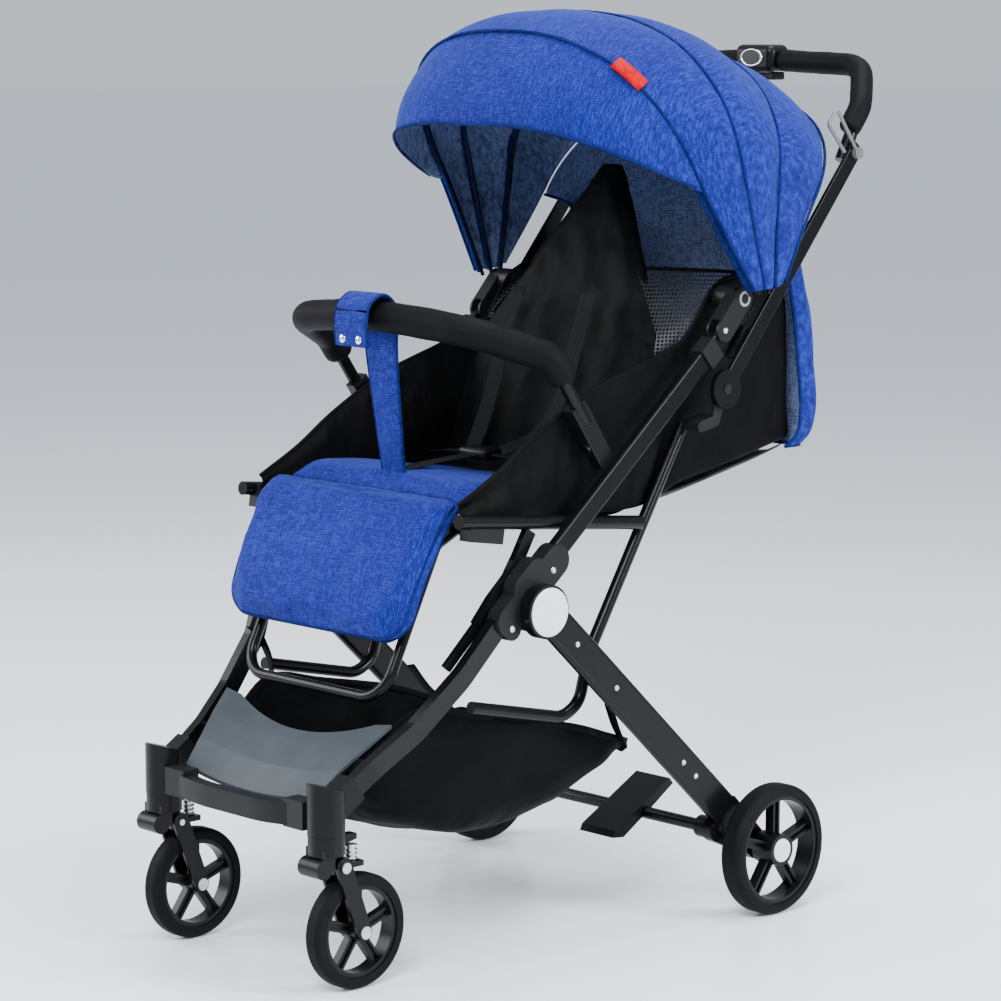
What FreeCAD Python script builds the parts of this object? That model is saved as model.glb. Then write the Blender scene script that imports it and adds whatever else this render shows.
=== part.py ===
import FreeCAD, Part
import math
import os

from FreeCAD import Placement, Rotation, Vector

# Baby stroller with a one-piece side frame, folding rear legs and a folding push bar.
# +Z up, the child faces -Y, +X is the child's left. Millimetres.
# Lengths along Y are taken from a datum between the wheels. LENGTH_SHIFT puts the origin
# on the ground, under the middle of the overall length.
LENGTH_SHIFT = -22.6

# Wheels
FRONT_WHEEL_R = 63.5
FRONT_WHEEL_W = 23.0
FRONT_WHEEL = (140.0, -349.0, FRONT_WHEEL_R)
REAR_WHEEL_R = 76.7
REAR_WHEEL_W = 29.0
REAR_WHEEL = (246.0, 204.0, REAR_WHEEL_R)
TYRE_DEPTH = 13.0
WHEEL_OPENINGS = 5
RUNNING_GAP = 0.06

# Casters
CASTER_X = 140.0
CASTER_Y = -389.0
STEM_R = 20.5
STEM_LOW = 175.0
STEM_TOP = 229.0
FORK_PIVOT = (-377.0, 140.0)
FORK_CHEEK = 4.0
FORK_GAP = 1.0
FORK_SCREW_R = 3.5
STUD_R = 5.0
AXLE_BOLT_R = 4.0
HUB_PIN_R = 12.0
AXLE_PIN_R = 4.5

# Side frame: planes across X and points (y, z)
MAIN_X = 198.0
MAIN_THICK = 12.0
MAIN_WIDE = 23.0
MAIN_TOP = (203.0, 714.0)
MAIN_LOW = (-118.0, 445.0)
FRONT_TUBE = [
    (198, -150, 418),
    (196, -192, 383),
    (176, -226, 328),
    (160, -280, 274),
    (146, -326, 240),
    (140, -377, 206),
]
LEG_PIVOT = (-139.0, 395.5)
LEG_X = 216.5
LEG_THICK = 13.0
LEG_WIDE = 40.0
LEG_END = 0.84
HINGE = (189.0, 717.5)
ARM_PIVOT = (152.0, 617.0)
ARM_X = 211.5
ARM_THICK = 5.0
ARM_WIDE = 26.0

# Push bar and handle
HANDLE_Y = 446.0
HANDLE_Z = 986.0
HANDLE_HALF = 205.0
HANDLE_TUBE_R = 8.0
FOAM_R = 13.5
FOAM_END = (376.0, 903.0)

# Brake
BRAKE_BAR = (137.0, 106.0)
BRAKE_BAR_R = 7.3

# Seat
SEAT_X = 183.0
SEAT_FRONT = (-236.0, 500.0)
SEAT_REAR = (44.0, 471.0)
LEG_REST_HINGE = (-172.0, 482.0)
SEAT_TUBE_R = 8.0
SEAT_CROSS_R = 7.0
LEG_REST_TUBE_R = 6.0
BACK_HINGE = (32.0, 492.0)
BACK_ANGLE = 69.0
BACK_LENGTH = 415.0
BACK_THICK = 14.0

# Front bar
BUMPER_TUBE_R = 7.5
BUMPER_FOAM_R = 17.5

# Canopy bows: pivot (y, z), angle above the horizontal forward line, height of the crown
# and half width
BOWS = {
    "front": ((185.0, 717.0), 121.3, 355.4, 216.0),
    "mid": ((198.0, 717.0), 105.1, 337.0, 231.0),
    "rear": ((211.0, 717.0), 84.6, 292.0, 226.0),
    "hem": ((222.0, 724.0), 57.0, 264.0, 222.0),
}
BOW_FOOT_HALF = 232.0
BOW_SHOULDER = 0.45
BOW_SQUARE = 0.82
BOW_R = 2.5
PEAK_EDGE = [
    (0, -50, 916),
    (60, -49, 916),
    (110, -43, 911),
    (150, -24, 901),
    (185, 14, 882),
    (208, 58, 862),
    (220, 93, 847),
]
FABRIC = 2.5
CLOTH = 3.0

SHELF = {}


def add(name, *solids):
    """Keep solids as one named part, shifted so that the origin is under the middle."""
    shape = solids[0] if len(solids) == 1 else Part.makeCompound(list(solids))
    shape = shape.copy()
    shape.translate(Vector(0, LENGTH_SHIFT, 0))
    SHELF[name] = shape


def mirrored(shape):
    return shape.mirror(Vector(0, 0, 0), Vector(1, 0, 0))


def add_pair(name, shape):
    """The same piece on the child's left and, mirrored, on the right."""
    add("left_" + name, shape)
    add("right_" + name, mirrored(shape))


def both(*shapes):
    return [s for shape in shapes for s in (shape, mirrored(shape))]


def add_both(name, *shapes):
    """Like pieces on the left and right of one body, as one node of separate solids."""
    add(name, *both(*shapes))


def pin(x0, x1, y, z, r):
    """A cylinder along X."""
    return Part.makeCylinder(r, x1 - x0, Vector(x0, y, z), Vector(1, 0, 0))


def rod(a, b, r):
    """A cylinder from a to b."""
    a, b = Vector(*a), Vector(*b)
    return Part.makeCylinder(r, (b - a).Length, a, b - a)


def box(x0, x1, y0, y1, z0, z1):
    return Part.makeBox(x1 - x0, y1 - y0, z1 - z0, Vector(x0, y0, z0))


def plate(points, x0, x1):
    """A flat plate: an outline of (y, z) points, x0 to x1 thick."""
    wire = Part.makePolygon([Vector(x0, y, z) for y, z in points + points[:1]])
    return Part.Face(wire).extrude(Vector(x1 - x0, 0, 0))


def capsule(a, b, wide, x0, x1, wide_b=None):
    """A plate with round ends from a to b in the side view."""
    ra = wide / 2
    rb = (wide_b or wide) / 2
    dy, dz = b[0] - a[0], b[1] - a[1]
    n = math.hypot(dy, dz)
    ny, nz = -dz / n, dy / n
    corners = [
        (a[0] + ny * ra, a[1] + nz * ra),
        (b[0] + ny * rb, b[1] + nz * rb),
        (b[0] - ny * rb, b[1] - nz * rb),
        (a[0] - ny * ra, a[1] - nz * ra),
    ]
    body = plate(corners, x0, x1)
    ends = [pin(x0, x1, a[0], a[1], ra), pin(x0, x1, b[0], b[1], rb)]
    return body.multiFuse(ends).removeSplitter()


def flat_bar(a, b, wide, x0, x1, soften=0.0):
    """A square-ended bar from a to b in the side view, with its long edges rounded."""
    dy, dz = b[0] - a[0], b[1] - a[1]
    n = math.hypot(dy, dz)
    ny, nz = -dz / n * wide / 2, dy / n * wide / 2
    bar = plate(
        [
            (a[0] + ny, a[1] + nz),
            (b[0] + ny, b[1] + nz),
            (b[0] - ny, b[1] - nz),
            (a[0] - ny, a[1] - nz),
        ],
        x0,
        x1,
    )
    if not soften:
        return bar
    long_edges = [e for e in bar.Edges if abs(e.Length - n) < 0.01]
    return bar.makeFillet(soften, long_edges)


def rounded_path(points, radius):
    """A wire of straight runs joined by tangent arcs; radius may be one for each corner."""
    pts = [Vector(*p) for p in points]
    radii = radius if isinstance(radius, list) else [radius] * (len(pts) - 2)
    edges = []
    start = pts[0]
    for i in range(1, len(pts) - 1):
        into = (pts[i] - pts[i - 1]).normalize()
        out = (pts[i + 1] - pts[i]).normalize()
        turn = into.getAngle(out)
        if turn < 0.01:
            continue
        run = min((pts[i] - pts[i - 1]).Length, (pts[i + 1] - pts[i]).Length)
        back = min(radii[i - 1] * math.tan(turn / 2), 0.45 * run)
        arc_r = back / math.tan(turn / 2)
        a = pts[i] - into * back
        b = pts[i] + out * back
        to_centre = (out - into).normalize()
        centre = pts[i] + to_centre * (arc_r / math.cos(turn / 2))
        middle = centre - to_centre * arc_r
        edges.append(Part.LineSegment(start, a).toShape())
        edges.append(Part.Arc(a, middle, b).toShape())
        start = b
    edges.append(Part.LineSegment(start, pts[-1]).toShape())
    return Part.Wire(edges)


def bent_tube(points, r, radius):
    """A round tube along rounded runs."""
    path = rounded_path(points, radius)
    a, b = Vector(*points[0]), Vector(*points[1])
    ring = Part.Wire(Part.makeCircle(r, a, b - a))
    return path.makePipeShell([ring], True, False)


def bent_bar(points, wide, thick, radius):
    """A flat tube along rounded runs, its wide side kept square to X."""
    path = rounded_path(points, radius)
    a, b = Vector(*points[0]), Vector(*points[1])
    along = (b - a).normalize()
    side = Vector(1, 0, 0)
    side = (side - along * side.dot(along)).normalize()
    up = along.cross(side)
    corners = [
        a + side * (sx * thick / 2) + up * (sz * wide / 2)
        for sx, sz in ((-1, -1), (1, -1), (1, 1), (-1, 1))
    ]
    ring = Part.makePolygon(corners + corners[:1])
    sweep = Part.BRepOffsetAPI.MakePipeShell(path)
    sweep.setBiNormalMode(Vector(1, 0, 0))
    sweep.setTransitionMode(1)
    sweep.add(ring, False, False)
    sweep.build()
    sweep.makeSolid()
    return sweep.shape()


def along(a, b, share):
    return (a[0] + (b[0] - a[0]) * share, a[1] + (b[1] - a[1]) * share)


# ---------------------------------------------------------------- wheels
def wheel(centre, r, wide, hub_r, bore_r):
    """(tyre, rim) of a moulded wheel with double-rib spokes, its axle along X."""
    x, y, z = centre
    x0, x1 = x - wide / 2, x + wide / 2
    tyre = pin(x0, x1, y, z, r).cut(pin(x0, x1, y, z, r - TYRE_DEPTH))
    outer = [e for e in tyre.Edges if abs(e.BoundBox.ZLength - 2 * r) < 0.1]
    tyre = tyre.makeFillet(wide * 0.28, outer)
    ring_r = r - TYRE_DEPTH
    rim_x0, rim_x1 = x0 + 2, x1 - 2
    rim = pin(rim_x0, rim_x1, y, z, ring_r).cut(pin(rim_x0, rim_x1, y, z, ring_r - 5))
    parts = [pin(x0 - 0.5, x1 + 0.5, y, z, hub_r)]
    rib = wide * 0.42
    for k in range(WHEEL_OPENINGS):
        for offset in (-4.2, 4.2):
            spoke = box(x - rib / 2, x + rib / 2, y, y + ring_r - 2, z + offset - 1.6, z + offset + 1.6)
            spoke.rotate(Vector(x, y, z), Vector(1, 0, 0), 90 + 360 / WHEEL_OPENINGS * k)
            parts.append(spoke)
        web = box(x - 2, x + 2, y, y + ring_r - 2, z - 4.2, z + 4.2)
        web.rotate(Vector(x, y, z), Vector(1, 0, 0), 90 + 360 / WHEEL_OPENINGS * k)
        parts.append(web)
    rim = rim.multiFuse(parts).removeSplitter()
    rim = rim.cut(pin(x0 - 2, x1 + 2, y, z, bore_r + RUNNING_GAP))
    return tyre, rim


def front_wheels():
    """Front wheels; returns the bolt that carries one."""
    x, y, z = FRONT_WHEEL
    tyre, rim = wheel(FRONT_WHEEL, FRONT_WHEEL_R, FRONT_WHEEL_W, 11.0, AXLE_BOLT_R)
    add_pair("front_tyre", tyre)
    add_pair("front_rim", rim)
    half = FRONT_WHEEL_W / 2 + FORK_GAP + FORK_CHEEK
    bolt = pin(x - half, x + half, y, z, AXLE_BOLT_R)
    heads = [
        pin(x + half, x + half + 2.0, y, z, 7.0),
        pin(x - half - 2.0, x - half, y, z, 7.0),
    ]
    return bolt.multiFuse(heads)


def rear_wheels():
    x, y, z = REAR_WHEEL
    tyre, rim = wheel(REAR_WHEEL, REAR_WHEEL_R, REAR_WHEEL_W, 19.0, AXLE_PIN_R)
    pocket = pin(x + REAR_WHEEL_W / 2 - 4, x + REAR_WHEEL_W / 2 + 2, y, z, 14.2)
    add_pair("rear_tyre", tyre)
    add_pair("rear_rim", rim.cut(pocket))
    face = x + REAR_WHEEL_W / 2
    cap = pin(face - 3.0, face + 2.0, y, z, 13.8)
    rim_of_cap = [e for e in cap.Edges if abs(e.BoundBox.XMin - cap.BoundBox.XMax) < 0.1]
    shank = pin(LEG_X - LEG_THICK / 2, face - 2.0, y, z, AXLE_PIN_R)
    add_both("rear_axles", cap.makeFillet(1.2, rim_of_cap).fuse(shank))


# ---------------------------------------------------------------- casters
def casters(axle_bolt, front):
    x, y = CASTER_X, CASTER_Y
    py, pz = FORK_PIVOT
    wheel_y, wheel_z = FRONT_WHEEL[1], FRONT_WHEEL[2]
    head = Part.makeCylinder(STEM_R, STEM_TOP + 8 - STEM_LOW, Vector(x, y, STEM_LOW))
    slope = Part.makeBox(90, 120, 60, Vector(x - 45, y - 60, 0))
    slope.rotate(Vector(x, y, 0), Vector(1, 0, 0), -16)
    slope.translate(Vector(0, 0, STEM_TOP - 2))
    head = head.cut(slope)
    socket = bent_bar([(139.5, -352, 222.2), (140, -386, 200)], 31, 22, 1)
    stud_hole = Part.makeCylinder(STUD_R + RUNNING_GAP, 40, Vector(x, y, STEM_LOW - 1))
    head = head.fuse(socket).removeSplitter().cut(stud_hole).cut(front)
    add_both("caster_heads", head)
    collar = Part.makeCylinder(STEM_R - 0.5, 20, Vector(x, y, STEM_LOW - 20.4))
    stud = Part.makeCylinder(STUD_R, 36, Vector(x, y, STEM_LOW - 1))
    cheek_in = FRONT_WHEEL_W / 2 + FORK_GAP
    lug = pin(x - 16, x + 16, y - 16, pz + 2, 11.0)
    bridge = box(x - 15, x + 15, y - 16, py, pz - 2, STEM_LOW - 12)
    knuckle = pin(x - 9.4, x + 9.4, py, pz, 11.0)
    lock_tab = plate([(y + 10, 160), (y + 38, 166), (y + 38, 172), (y + 10, 174)], x - 6, x + 6)
    swivel = collar.multiFuse([stud, lug, bridge, knuckle, lock_tab]).removeSplitter()
    fork_room = [
        box(s0, s1, py - 12.4, py + 30, pz - 40, pz + 12.4)
        for s0, s1 in ((x - 20, x - 9.7), (x + 9.7, x + 20))
    ]
    swivel = swivel.cut(fork_room[0]).cut(fork_room[1])
    screw_hole = pin(x - 30, x + 30, py, pz, FORK_SCREW_R + RUNNING_GAP)
    swivel = swivel.cut(screw_hole)
    add_pair("swivel_block", swivel)
    cheeks = []
    for s in (-1, 1):
        near, far = sorted((x + s * cheek_in, x + s * (cheek_in + FORK_CHEEK)))
        cheeks.append(capsule((py, pz), (wheel_y, wheel_z), 21, near, far, 19))
        ear_a, ear_b = sorted((x + s * 10.0, x + s * cheek_in))
        cheeks.append(pin(ear_a, ear_b, py, pz, 10.0))
    seat = box(x - cheek_in, x + cheek_in, py + 14, py + 30, pz - 3, pz + 3)
    fork = cheeks[0].multiFuse(cheeks[1:] + [seat]).removeSplitter()
    fork = fork.cut(screw_hole)
    fork = fork.cut(pin(x - 30, x + 30, wheel_y, wheel_z, AXLE_BOLT_R))
    add_pair("caster_fork", fork)
    screw_head = pin(x + 17.5, x + 20, py, pz, 6.0)
    screw = pin(x - 17.5, x + 17.5, py, pz, FORK_SCREW_R).fuse(screw_head)
    add_pair("fork_bolts", Part.makeCompound([screw, axle_bolt]))
    coils = []
    low, high, turns = pz + 3.3, 159.7, 4
    pitch = (high - low - 2.4) / (turns - 1)
    for k in range(turns):
        ring = Part.makeTorus(6.2, 1.1, Vector(x, py + 22, low + 1.2 + pitch * k))
        coils.append(ring)
    core = Part.makeCylinder(5.6, high - low, Vector(x, py + 22, low))
    add_pair("caster_spring", core.multiFuse(coils))


# ---------------------------------------------------------------- frame
def side_tubes():
    x0, x1 = MAIN_X - MAIN_THICK / 2, MAIN_X + MAIN_THICK / 2
    low = along(MAIN_LOW, MAIN_TOP, -0.03)
    main = flat_bar(low, MAIN_TOP, MAIN_WIDE, x0, x1, 2.5)
    add_both("main_tubes", main)
    front = bent_bar(FRONT_TUBE, MAIN_WIDE, MAIN_THICK, 60)
    add_both("front_tubes", front)
    return main, front


def cross_castings(main, front):
    """The casting that joins the main tube, the front tube and the rear leg."""
    x0, x1 = MAIN_X - 10, MAIN_X + MAIN_THICK / 2 + 2.5
    top, low = (-110.0, 447.0), (-181.0, 388.0)
    block = capsule(top, low, 36, x0, x1)
    hump = capsule((-140, 436), (-158, 421), 34, x0, x1)
    lobe_top = pin(x0, x1, -116, 437, 13)
    lobe_low = pin(x0, x1, -178, 379.5, 13)
    hub = pin(x0, x1, LEG_PIVOT[0], LEG_PIVOT[1], 25)
    casting = block.multiFuse([hump, lobe_top, lobe_low, hub]).removeSplitter()
    hub_pin = pin(x1 - 1, LEG_X + LEG_THICK / 2 + 0.5, *LEG_PIVOT, HUB_PIN_R)
    casting = casting.fuse(hub_pin).cut(main).cut(front)
    add_both("cross_castings", casting)
    disc_x = LEG_X + LEG_THICK / 2 + 0.5
    disc = pin(disc_x, disc_x + 2.5, LEG_PIVOT[0], LEG_PIVOT[1], 27.0)
    face = [e for e in disc.Edges if abs(e.BoundBox.XMin - disc_x - 2.5) < 0.01]
    add_both("cross_discs", disc.makeFillet(1.5, face))


def rear_legs():
    """Flat oval legs from the casting's hub to the rear wheels."""
    wheel_point = (REAR_WHEEL[1], REAR_WHEEL[2])
    x0, x1 = LEG_X - LEG_THICK / 2, LEG_X + LEG_THICK / 2
    end = along(LEG_PIVOT, wheel_point, LEG_END)
    leg = flat_bar(LEG_PIVOT, end, LEG_WIDE, x0, x1, 5.5)
    eye = pin(x0, x1, LEG_PIVOT[0], LEG_PIVOT[1], 30.0)
    leg = leg.fuse(eye).removeSplitter()
    leg = leg.cut(pin(x0 - 1, x1 + 1, *LEG_PIVOT, HUB_PIN_R + RUNNING_GAP))
    leg = leg.cut(pin(x0 - 1, x1 + 1, BRAKE_BAR[0], BRAKE_BAR[1], BRAKE_BAR_R + 0.5))
    add_both("rear_legs", leg)
    start = along(LEG_PIVOT, wheel_point, LEG_END + 0.002)
    shoe = capsule(start, wheel_point, 40, x0, x1, 34)
    beyond = flat_bar(LEG_PIVOT, start, 60, x0 - 1, x1 + 1)
    shoe = shoe.cut(beyond)
    by, bz = BRAKE_BAR
    knob = capsule((by, bz), along((by, bz), wheel_point, 0.5), 30, x0, x1)
    shoe = shoe.multiFuse([knob, pin(x0 - 16, x0 + 1, by, bz, 13)]).removeSplitter()
    shoe = shoe.cut(pin(x0 - 20, x1 + 5, by, bz, BRAKE_BAR_R + RUNNING_GAP))
    shoe = shoe.cut(beyond).cut(pin(x0 - 5, x1 + 5, *wheel_point, AXLE_PIN_R))
    add_both("rear_feet", shoe)
    rivets = []
    for share in (0.13, 0.31, 0.63, 0.69):
        y, z = along(LEG_PIVOT, wheel_point, share)
        outside = box(x1, x1 + 3, y - 5, y + 5, z - 5, z + 5)
        ball = Part.makeSphere(4.0, Vector(x1 - 2.2, y, z))
        rivets.append(ball.common(outside))
    add("leg_rivets", *both(*rivets))


def brake():
    by, bz = BRAKE_BAR
    end = LEG_X + LEG_THICK / 2 - 1
    bar = pin(-end, end, by, bz, BRAKE_BAR_R)
    add("brake_bar", bar)
    pedal = plate([(82, 84), (86, 92), (178, 141), (184, 134), (150, 112), (100, 82)], 50, 105)
    sleeve = pin(62, 93, by, bz, 11)
    pedal = pedal.fuse(sleeve).removeSplitter().cut(bar)
    add("brake_pedal", pedal)


def front_end():
    half = CASTER_X - 25
    bow = [(-half, -392, 194), (-60, -402, 190), (60, -402, 190), (half, -392, 194)]
    path = rounded_path(bow, 260)
    a = Vector(*bow[0])
    corners = [a + Vector(0, sy * 8, sz * 12) for sy, sz in ((-1, -1), (1, -1), (1, 1), (-1, 1))]
    sweep = Part.BRepOffsetAPI.MakePipeShell(path)
    sweep.setBiNormalMode(Vector(0, 0, 1))
    sweep.add(Part.makePolygon(corners + corners[:1]), False, False)
    sweep.build()
    sweep.makeSolid()
    bar = sweep.shape()
    add("front_crossbar", bar)
    sleeves = [
        box(s0, s1, -404, -382, 178, 209)
        for s0, s1 in ((-118.7, -86), (86, 118.7))
    ]
    heads = [
        Part.makeCylinder(STEM_R + 0.05, 90, Vector(s * CASTER_X, CASTER_Y, 160))
        for s in (-1, 1)
    ]
    sleeves = [s.cut(bar).cut(heads[0]).cut(heads[1]) for s in sleeves]
    # the footrest: a dished plate between the front tubes, its rear edge cut in a curve
    rows = [(-379, 210, 112), (-352, 236, 120), (-323, 260, 132), (-296, 281, 141)]
    wires = []
    for y, z, half in rows:
        sag = 12
        top = Part.Arc(Vector(-half, y, z), Vector(0, y, z - sag), Vector(half, y, z)).toShape()
        low = Part.Arc(Vector(half, y, z - 4), Vector(0, y, z - sag - 4), Vector(-half, y, z - 4)).toShape()
        sides = [
            Part.LineSegment(Vector(half, y, z), Vector(half, y, z - 4)).toShape(),
            Part.LineSegment(Vector(-half, y, z - 4), Vector(-half, y, z)).toShape(),
        ]
        wires.append(Part.Wire([top, sides[0], low, sides[1]]))
    rest = Part.makeLoft(wires, True, True)
    curve = Part.makeCylinder(420, 160, Vector(0, -296 + 404, 200))
    rest = rest.cut(curve).cut(bar)
    add("footrest_plate", rest)
    return sleeves


def upper_brackets(main):
    """The plate, boss and white-ringed disc at the top of each main tube."""
    y, z = HINGE
    x_out = MAIN_X + MAIN_THICK / 2
    low = (158.0, 683.0)
    cover = capsule((y, z), low, 27, x_out, x_out + 3)
    inner = capsule((y, z), low, 27, MAIN_X - MAIN_THICK / 2 - 3, MAIN_X - MAIN_THICK / 2)
    bridge = flat_bar(along(low, (y, z), 0.1), (y, z), 27, MAIN_X - 6, MAIN_X + 6)
    boss = pin(163, MAIN_X, y, z, 14)
    channel = flat_bar((176, 650), (196, 684), 9, x_out - 12, x_out + 1.5)
    bracket = cover.multiFuse([inner, bridge, boss, channel]).removeSplitter().cut(main)
    add_both("upper_brackets", bracket)
    ring = pin(x_out + 3, x_out + 3.8, y, z, 9).cut(pin(x_out + 2, x_out + 5, y, z, 6))
    return ring


def sleeves_and_rivets(main, ring, sleeves, seat_blocks):
    collar = flat_bar((128, 650.5), (146, 666), 29, MAIN_X - 9, MAIN_X + 9).cut(main)
    add("frame_sleeves", *both(collar, seat_blocks), *sleeves)
    x_out = MAIN_X + MAIN_THICK / 2
    spots = [(-116, 437, x_out + 2.5), (-178, 379.5, x_out + 2.5), (158, 683, x_out + 3)]
    rivets = [ring]
    for y, z, x in spots:
        ball = Part.makeSphere(4.6, Vector(x - 2.6, y, z))
        rivets.append(ball.common(box(x, x + 5, y - 6, y + 6, z - 6, z + 6)))
    add_both("frame_rivets", *rivets)


def seat_frame():
    """Side and front tubes under the seat and the arched links down to the front tubes."""
    x = SEAT_X
    side = rod((x, SEAT_FRONT[0], SEAT_FRONT[1]), (x, SEAT_REAR[0], SEAT_REAR[1]), SEAT_TUBE_R)
    cross = pin(-x + SEAT_TUBE_R + 0.5, x - SEAT_TUBE_R - 0.5, *LEG_REST_HINGE, SEAT_CROSS_R)
    arch = [(x, -131, 480), (x, -148, 452), (x, -163, 430), (x, -188, 408), (x - 4, -206, 383)]
    link = bent_bar(arch, 15, 8, 14)
    lower = bent_bar([arch[-1], (x - 17, -240, 338)], 11, 6, 1)
    link = link.fuse(lower).removeSplitter().cut(side)
    add("seat_frame", *both(side, link), cross)
    block = flat_bar((-222, 491), (-172, 483), 27, x - 12, x + 4).cut(side).cut(cross)
    return block


def rear_links():
    x = 176.0
    run = [(x, 120, 575), (x, -30, 331), (x, -46, 275), (x, -72, 262), (x, -212, 293)]
    add_both("rear_links", bent_tube(run, 7.0, 34))


def push_frame():
    """Side arms with their fold discs, and the handle tube that they carry."""
    x0, x1 = ARM_X - ARM_THICK / 2, ARM_X + ARM_THICK / 2
    top = along(ARM_PIVOT, (HANDLE_Y, 968.0), 0.77)
    arm = flat_bar(ARM_PIVOT, top, ARM_WIDE - 6, x0, x1, 1.5)
    disc = pin(x0, x1 + 2, ARM_PIVOT[0], ARM_PIVOT[1], 22.5)
    arm = arm.fuse(disc).removeSplitter()
    arm = arm.cut(pin(x0 - 1, x1 + 5, ARM_PIVOT[0], ARM_PIVOT[1], 6 + RUNNING_GAP))
    add_both("push_arms", arm)
    tab_point = (141.0, 581.0)
    tab = capsule(ARM_PIVOT, tab_point, 17, x0 - 5.5, x0 - 0.5, 13)
    tab = tab.fuse(pin(x0 - 3, x1 + 3, ARM_PIVOT[0], ARM_PIVOT[1], 6))
    reach = capsule(tab_point, (118, 576), 13, 184, x0 - 0.5)
    add_both("fold_tabs", tab.fuse(reach).removeSplitter())


def handle():
    x = HANDLE_HALF - 6
    low = along(ARM_PIVOT, (HANDLE_Y, 968.0), 0.72)
    run = [
        (x, low[0], low[1]),
        (x, 398, 933),
        (x - 38, HANDLE_Y - 2, HANDLE_Z - 6),
        (0, HANDLE_Y, HANDLE_Z),
    ]
    run += [(-px, py, pz) for px, py, pz in reversed(run[:3])]
    tube = bent_tube(run, HANDLE_TUBE_R, 46)
    add("handle_tube", tube)
    grip = [(x, FOAM_END[0], FOAM_END[1] + 2)] + run[1:3] + [(32, HANDLE_Y, HANDLE_Z)]
    add_both("handle_foams", bent_tube(grip, FOAM_R, 46).cut(tube))
    body = box(-31, 31, HANDLE_Y - 20, HANDLE_Y + 17, HANDLE_Z - 17, HANDLE_Z + 18)
    return body.makeFillet(9, body.Edges).cut(tube)


def handle_fittings(housing):
    """The fold release in the handle's housing, and the latch hook on the left arm."""
    low, high = (0, 322, 840), (0, HANDLE_Y - 12, HANDLE_Z - 16)
    trigger = box(-12, 28, HANDLE_Y - 10, HANDLE_Y + 10, HANDLE_Z - 25, HANDLE_Z - 15)
    trigger = trigger.makeFillet(2.5, trigger.Edges)
    pocket = box(-12.6, 28.6, HANDLE_Y - 11, HANDLE_Y + 15, HANDLE_Z - 30, HANDLE_Z - 10)
    hole = rod(low, (0, HANDLE_Y - 6, HANDLE_Z - 9), 4.5)
    add("handle_housing", housing.cut(pocket).cut(hole))
    add("fold_trigger", trigger)
    add("release_rod", rod(low, high, 4.0).cut(trigger))
    x = ARM_X + ARM_THICK / 2 + 0.4
    y, z = 372.0, 879.0
    loop = [(x + 3, y, z), (x + 3, y - 38, z + 52), (x + 3, y - 54, z + 35), (x + 3, y - 24, z + 2)]
    wire = bent_tube(loop, 2.2, 6)
    eye = pin(x, x + 6, y, z, 7)
    add("latch_hook", wire.fuse(eye).removeSplitter())


# ---------------------------------------------------------------- canopy
def arch(name, shrink, foot=20.0):
    """Points of a bow: feet that lean in a little, then a squared half ellipse over the top."""
    pivot, angle, crown, half = BOWS[name]
    half = half - shrink
    crown = crown - shrink
    shoulder = crown * BOW_SHOULDER
    spread = BOW_FOOT_HALF - shrink - half
    low = [
        (-half - spread, foot),
        (-half - 0.4 * spread, shoulder * 0.55),
        (-half - 0.1 * spread, shoulder * 0.85),
    ]
    top = []
    steps = 14
    for k in range(steps + 1):
        t = math.pi * k / steps
        c, s = math.cos(t), math.sin(t)
        px = -half * math.copysign(abs(c) ** BOW_SQUARE, c)
        top.append((px, shoulder + (crown - shoulder) * s ** BOW_SQUARE))
    pairs = low + top + [(-px, h) for px, h in reversed(low)]
    lean = math.radians(180 - angle)
    return [
        Vector(px, pivot[0] - h * math.cos(lean), pivot[1] + h * math.sin(lean))
        for px, h in pairs
    ]


def curve(points):
    line = Part.BSplineCurve()
    line.interpolate(points)
    return line


def bow(name):
    points = arch(name, 9.0, 6.0)
    line = curve(points).toShape()
    ring = Part.Wire(Part.makeCircle(BOW_R, points[0], points[1] - points[0]))
    return Part.Wire(line).makePipeShell([ring], True, True)


def strip(rows):
    """A thin sheet of fabric through arches, given as (outer, inner) lists of points."""
    wires = []
    for outer, inner in rows:
        top, low = curve(outer).toShape(), curve(list(reversed(inner))).toShape()
        ends = [
            Part.LineSegment(outer[-1], inner[-1]).toShape(),
            Part.LineSegment(inner[0], outer[0]).toShape(),
        ]
        wires.append(Part.Wire([top, ends[0], low, ends[1]]))
    return Part.makeLoft(wires, True, True)


def facet_sheet(outer, inner):
    """A thin sheet in flat facets between matching rows of outer and inner points."""
    faces = []
    columns = range(len(outer[0]) - 1)
    rows = range(len(outer) - 1)

    def quad(a, b, c, d):
        for corners in ([a, b, c, a], [a, c, d, a]):
            faces.append(Part.Face(Part.makePolygon(corners)))

    for k in rows:
        for i in columns:
            quad(outer[k][i], outer[k][i + 1], outer[k + 1][i + 1], outer[k + 1][i])
            quad(inner[k][i], inner[k + 1][i], inner[k + 1][i + 1], inner[k][i + 1])
        for i in (0, -1):
            quad(outer[k][i], outer[k + 1][i], inner[k + 1][i], inner[k][i])
    for k in (0, -1):
        for i in columns:
            quad(outer[k][i], inner[k][i], inner[k][i + 1], outer[k][i + 1])
    return Part.makeSolid(Part.makeShell(faces))


def visor_root(shrink):
    """The stretch of the front bow's arch that carries the peak."""
    return arch("front", shrink)[2:-2]


def visor_edge(shrink):
    """The peak's lower edge, with as many points as its root."""
    half = [Vector(x, y, z) for x, y, z in PEAK_EDGE]
    whole = [Vector(-p.x, p.y, p.z) for p in reversed(half)] + half[1:]
    line = curve(whole)
    first, last = line.FirstParameter, line.LastParameter
    count = len(visor_root(shrink))
    points = [line.value(first + (last - first) * k / (count - 1)) for k in range(count)]
    half_width = BOWS["front"][3]
    return [Vector(p.x * (1 - shrink / half_width), p.y + shrink, p.z) for p in points]


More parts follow.
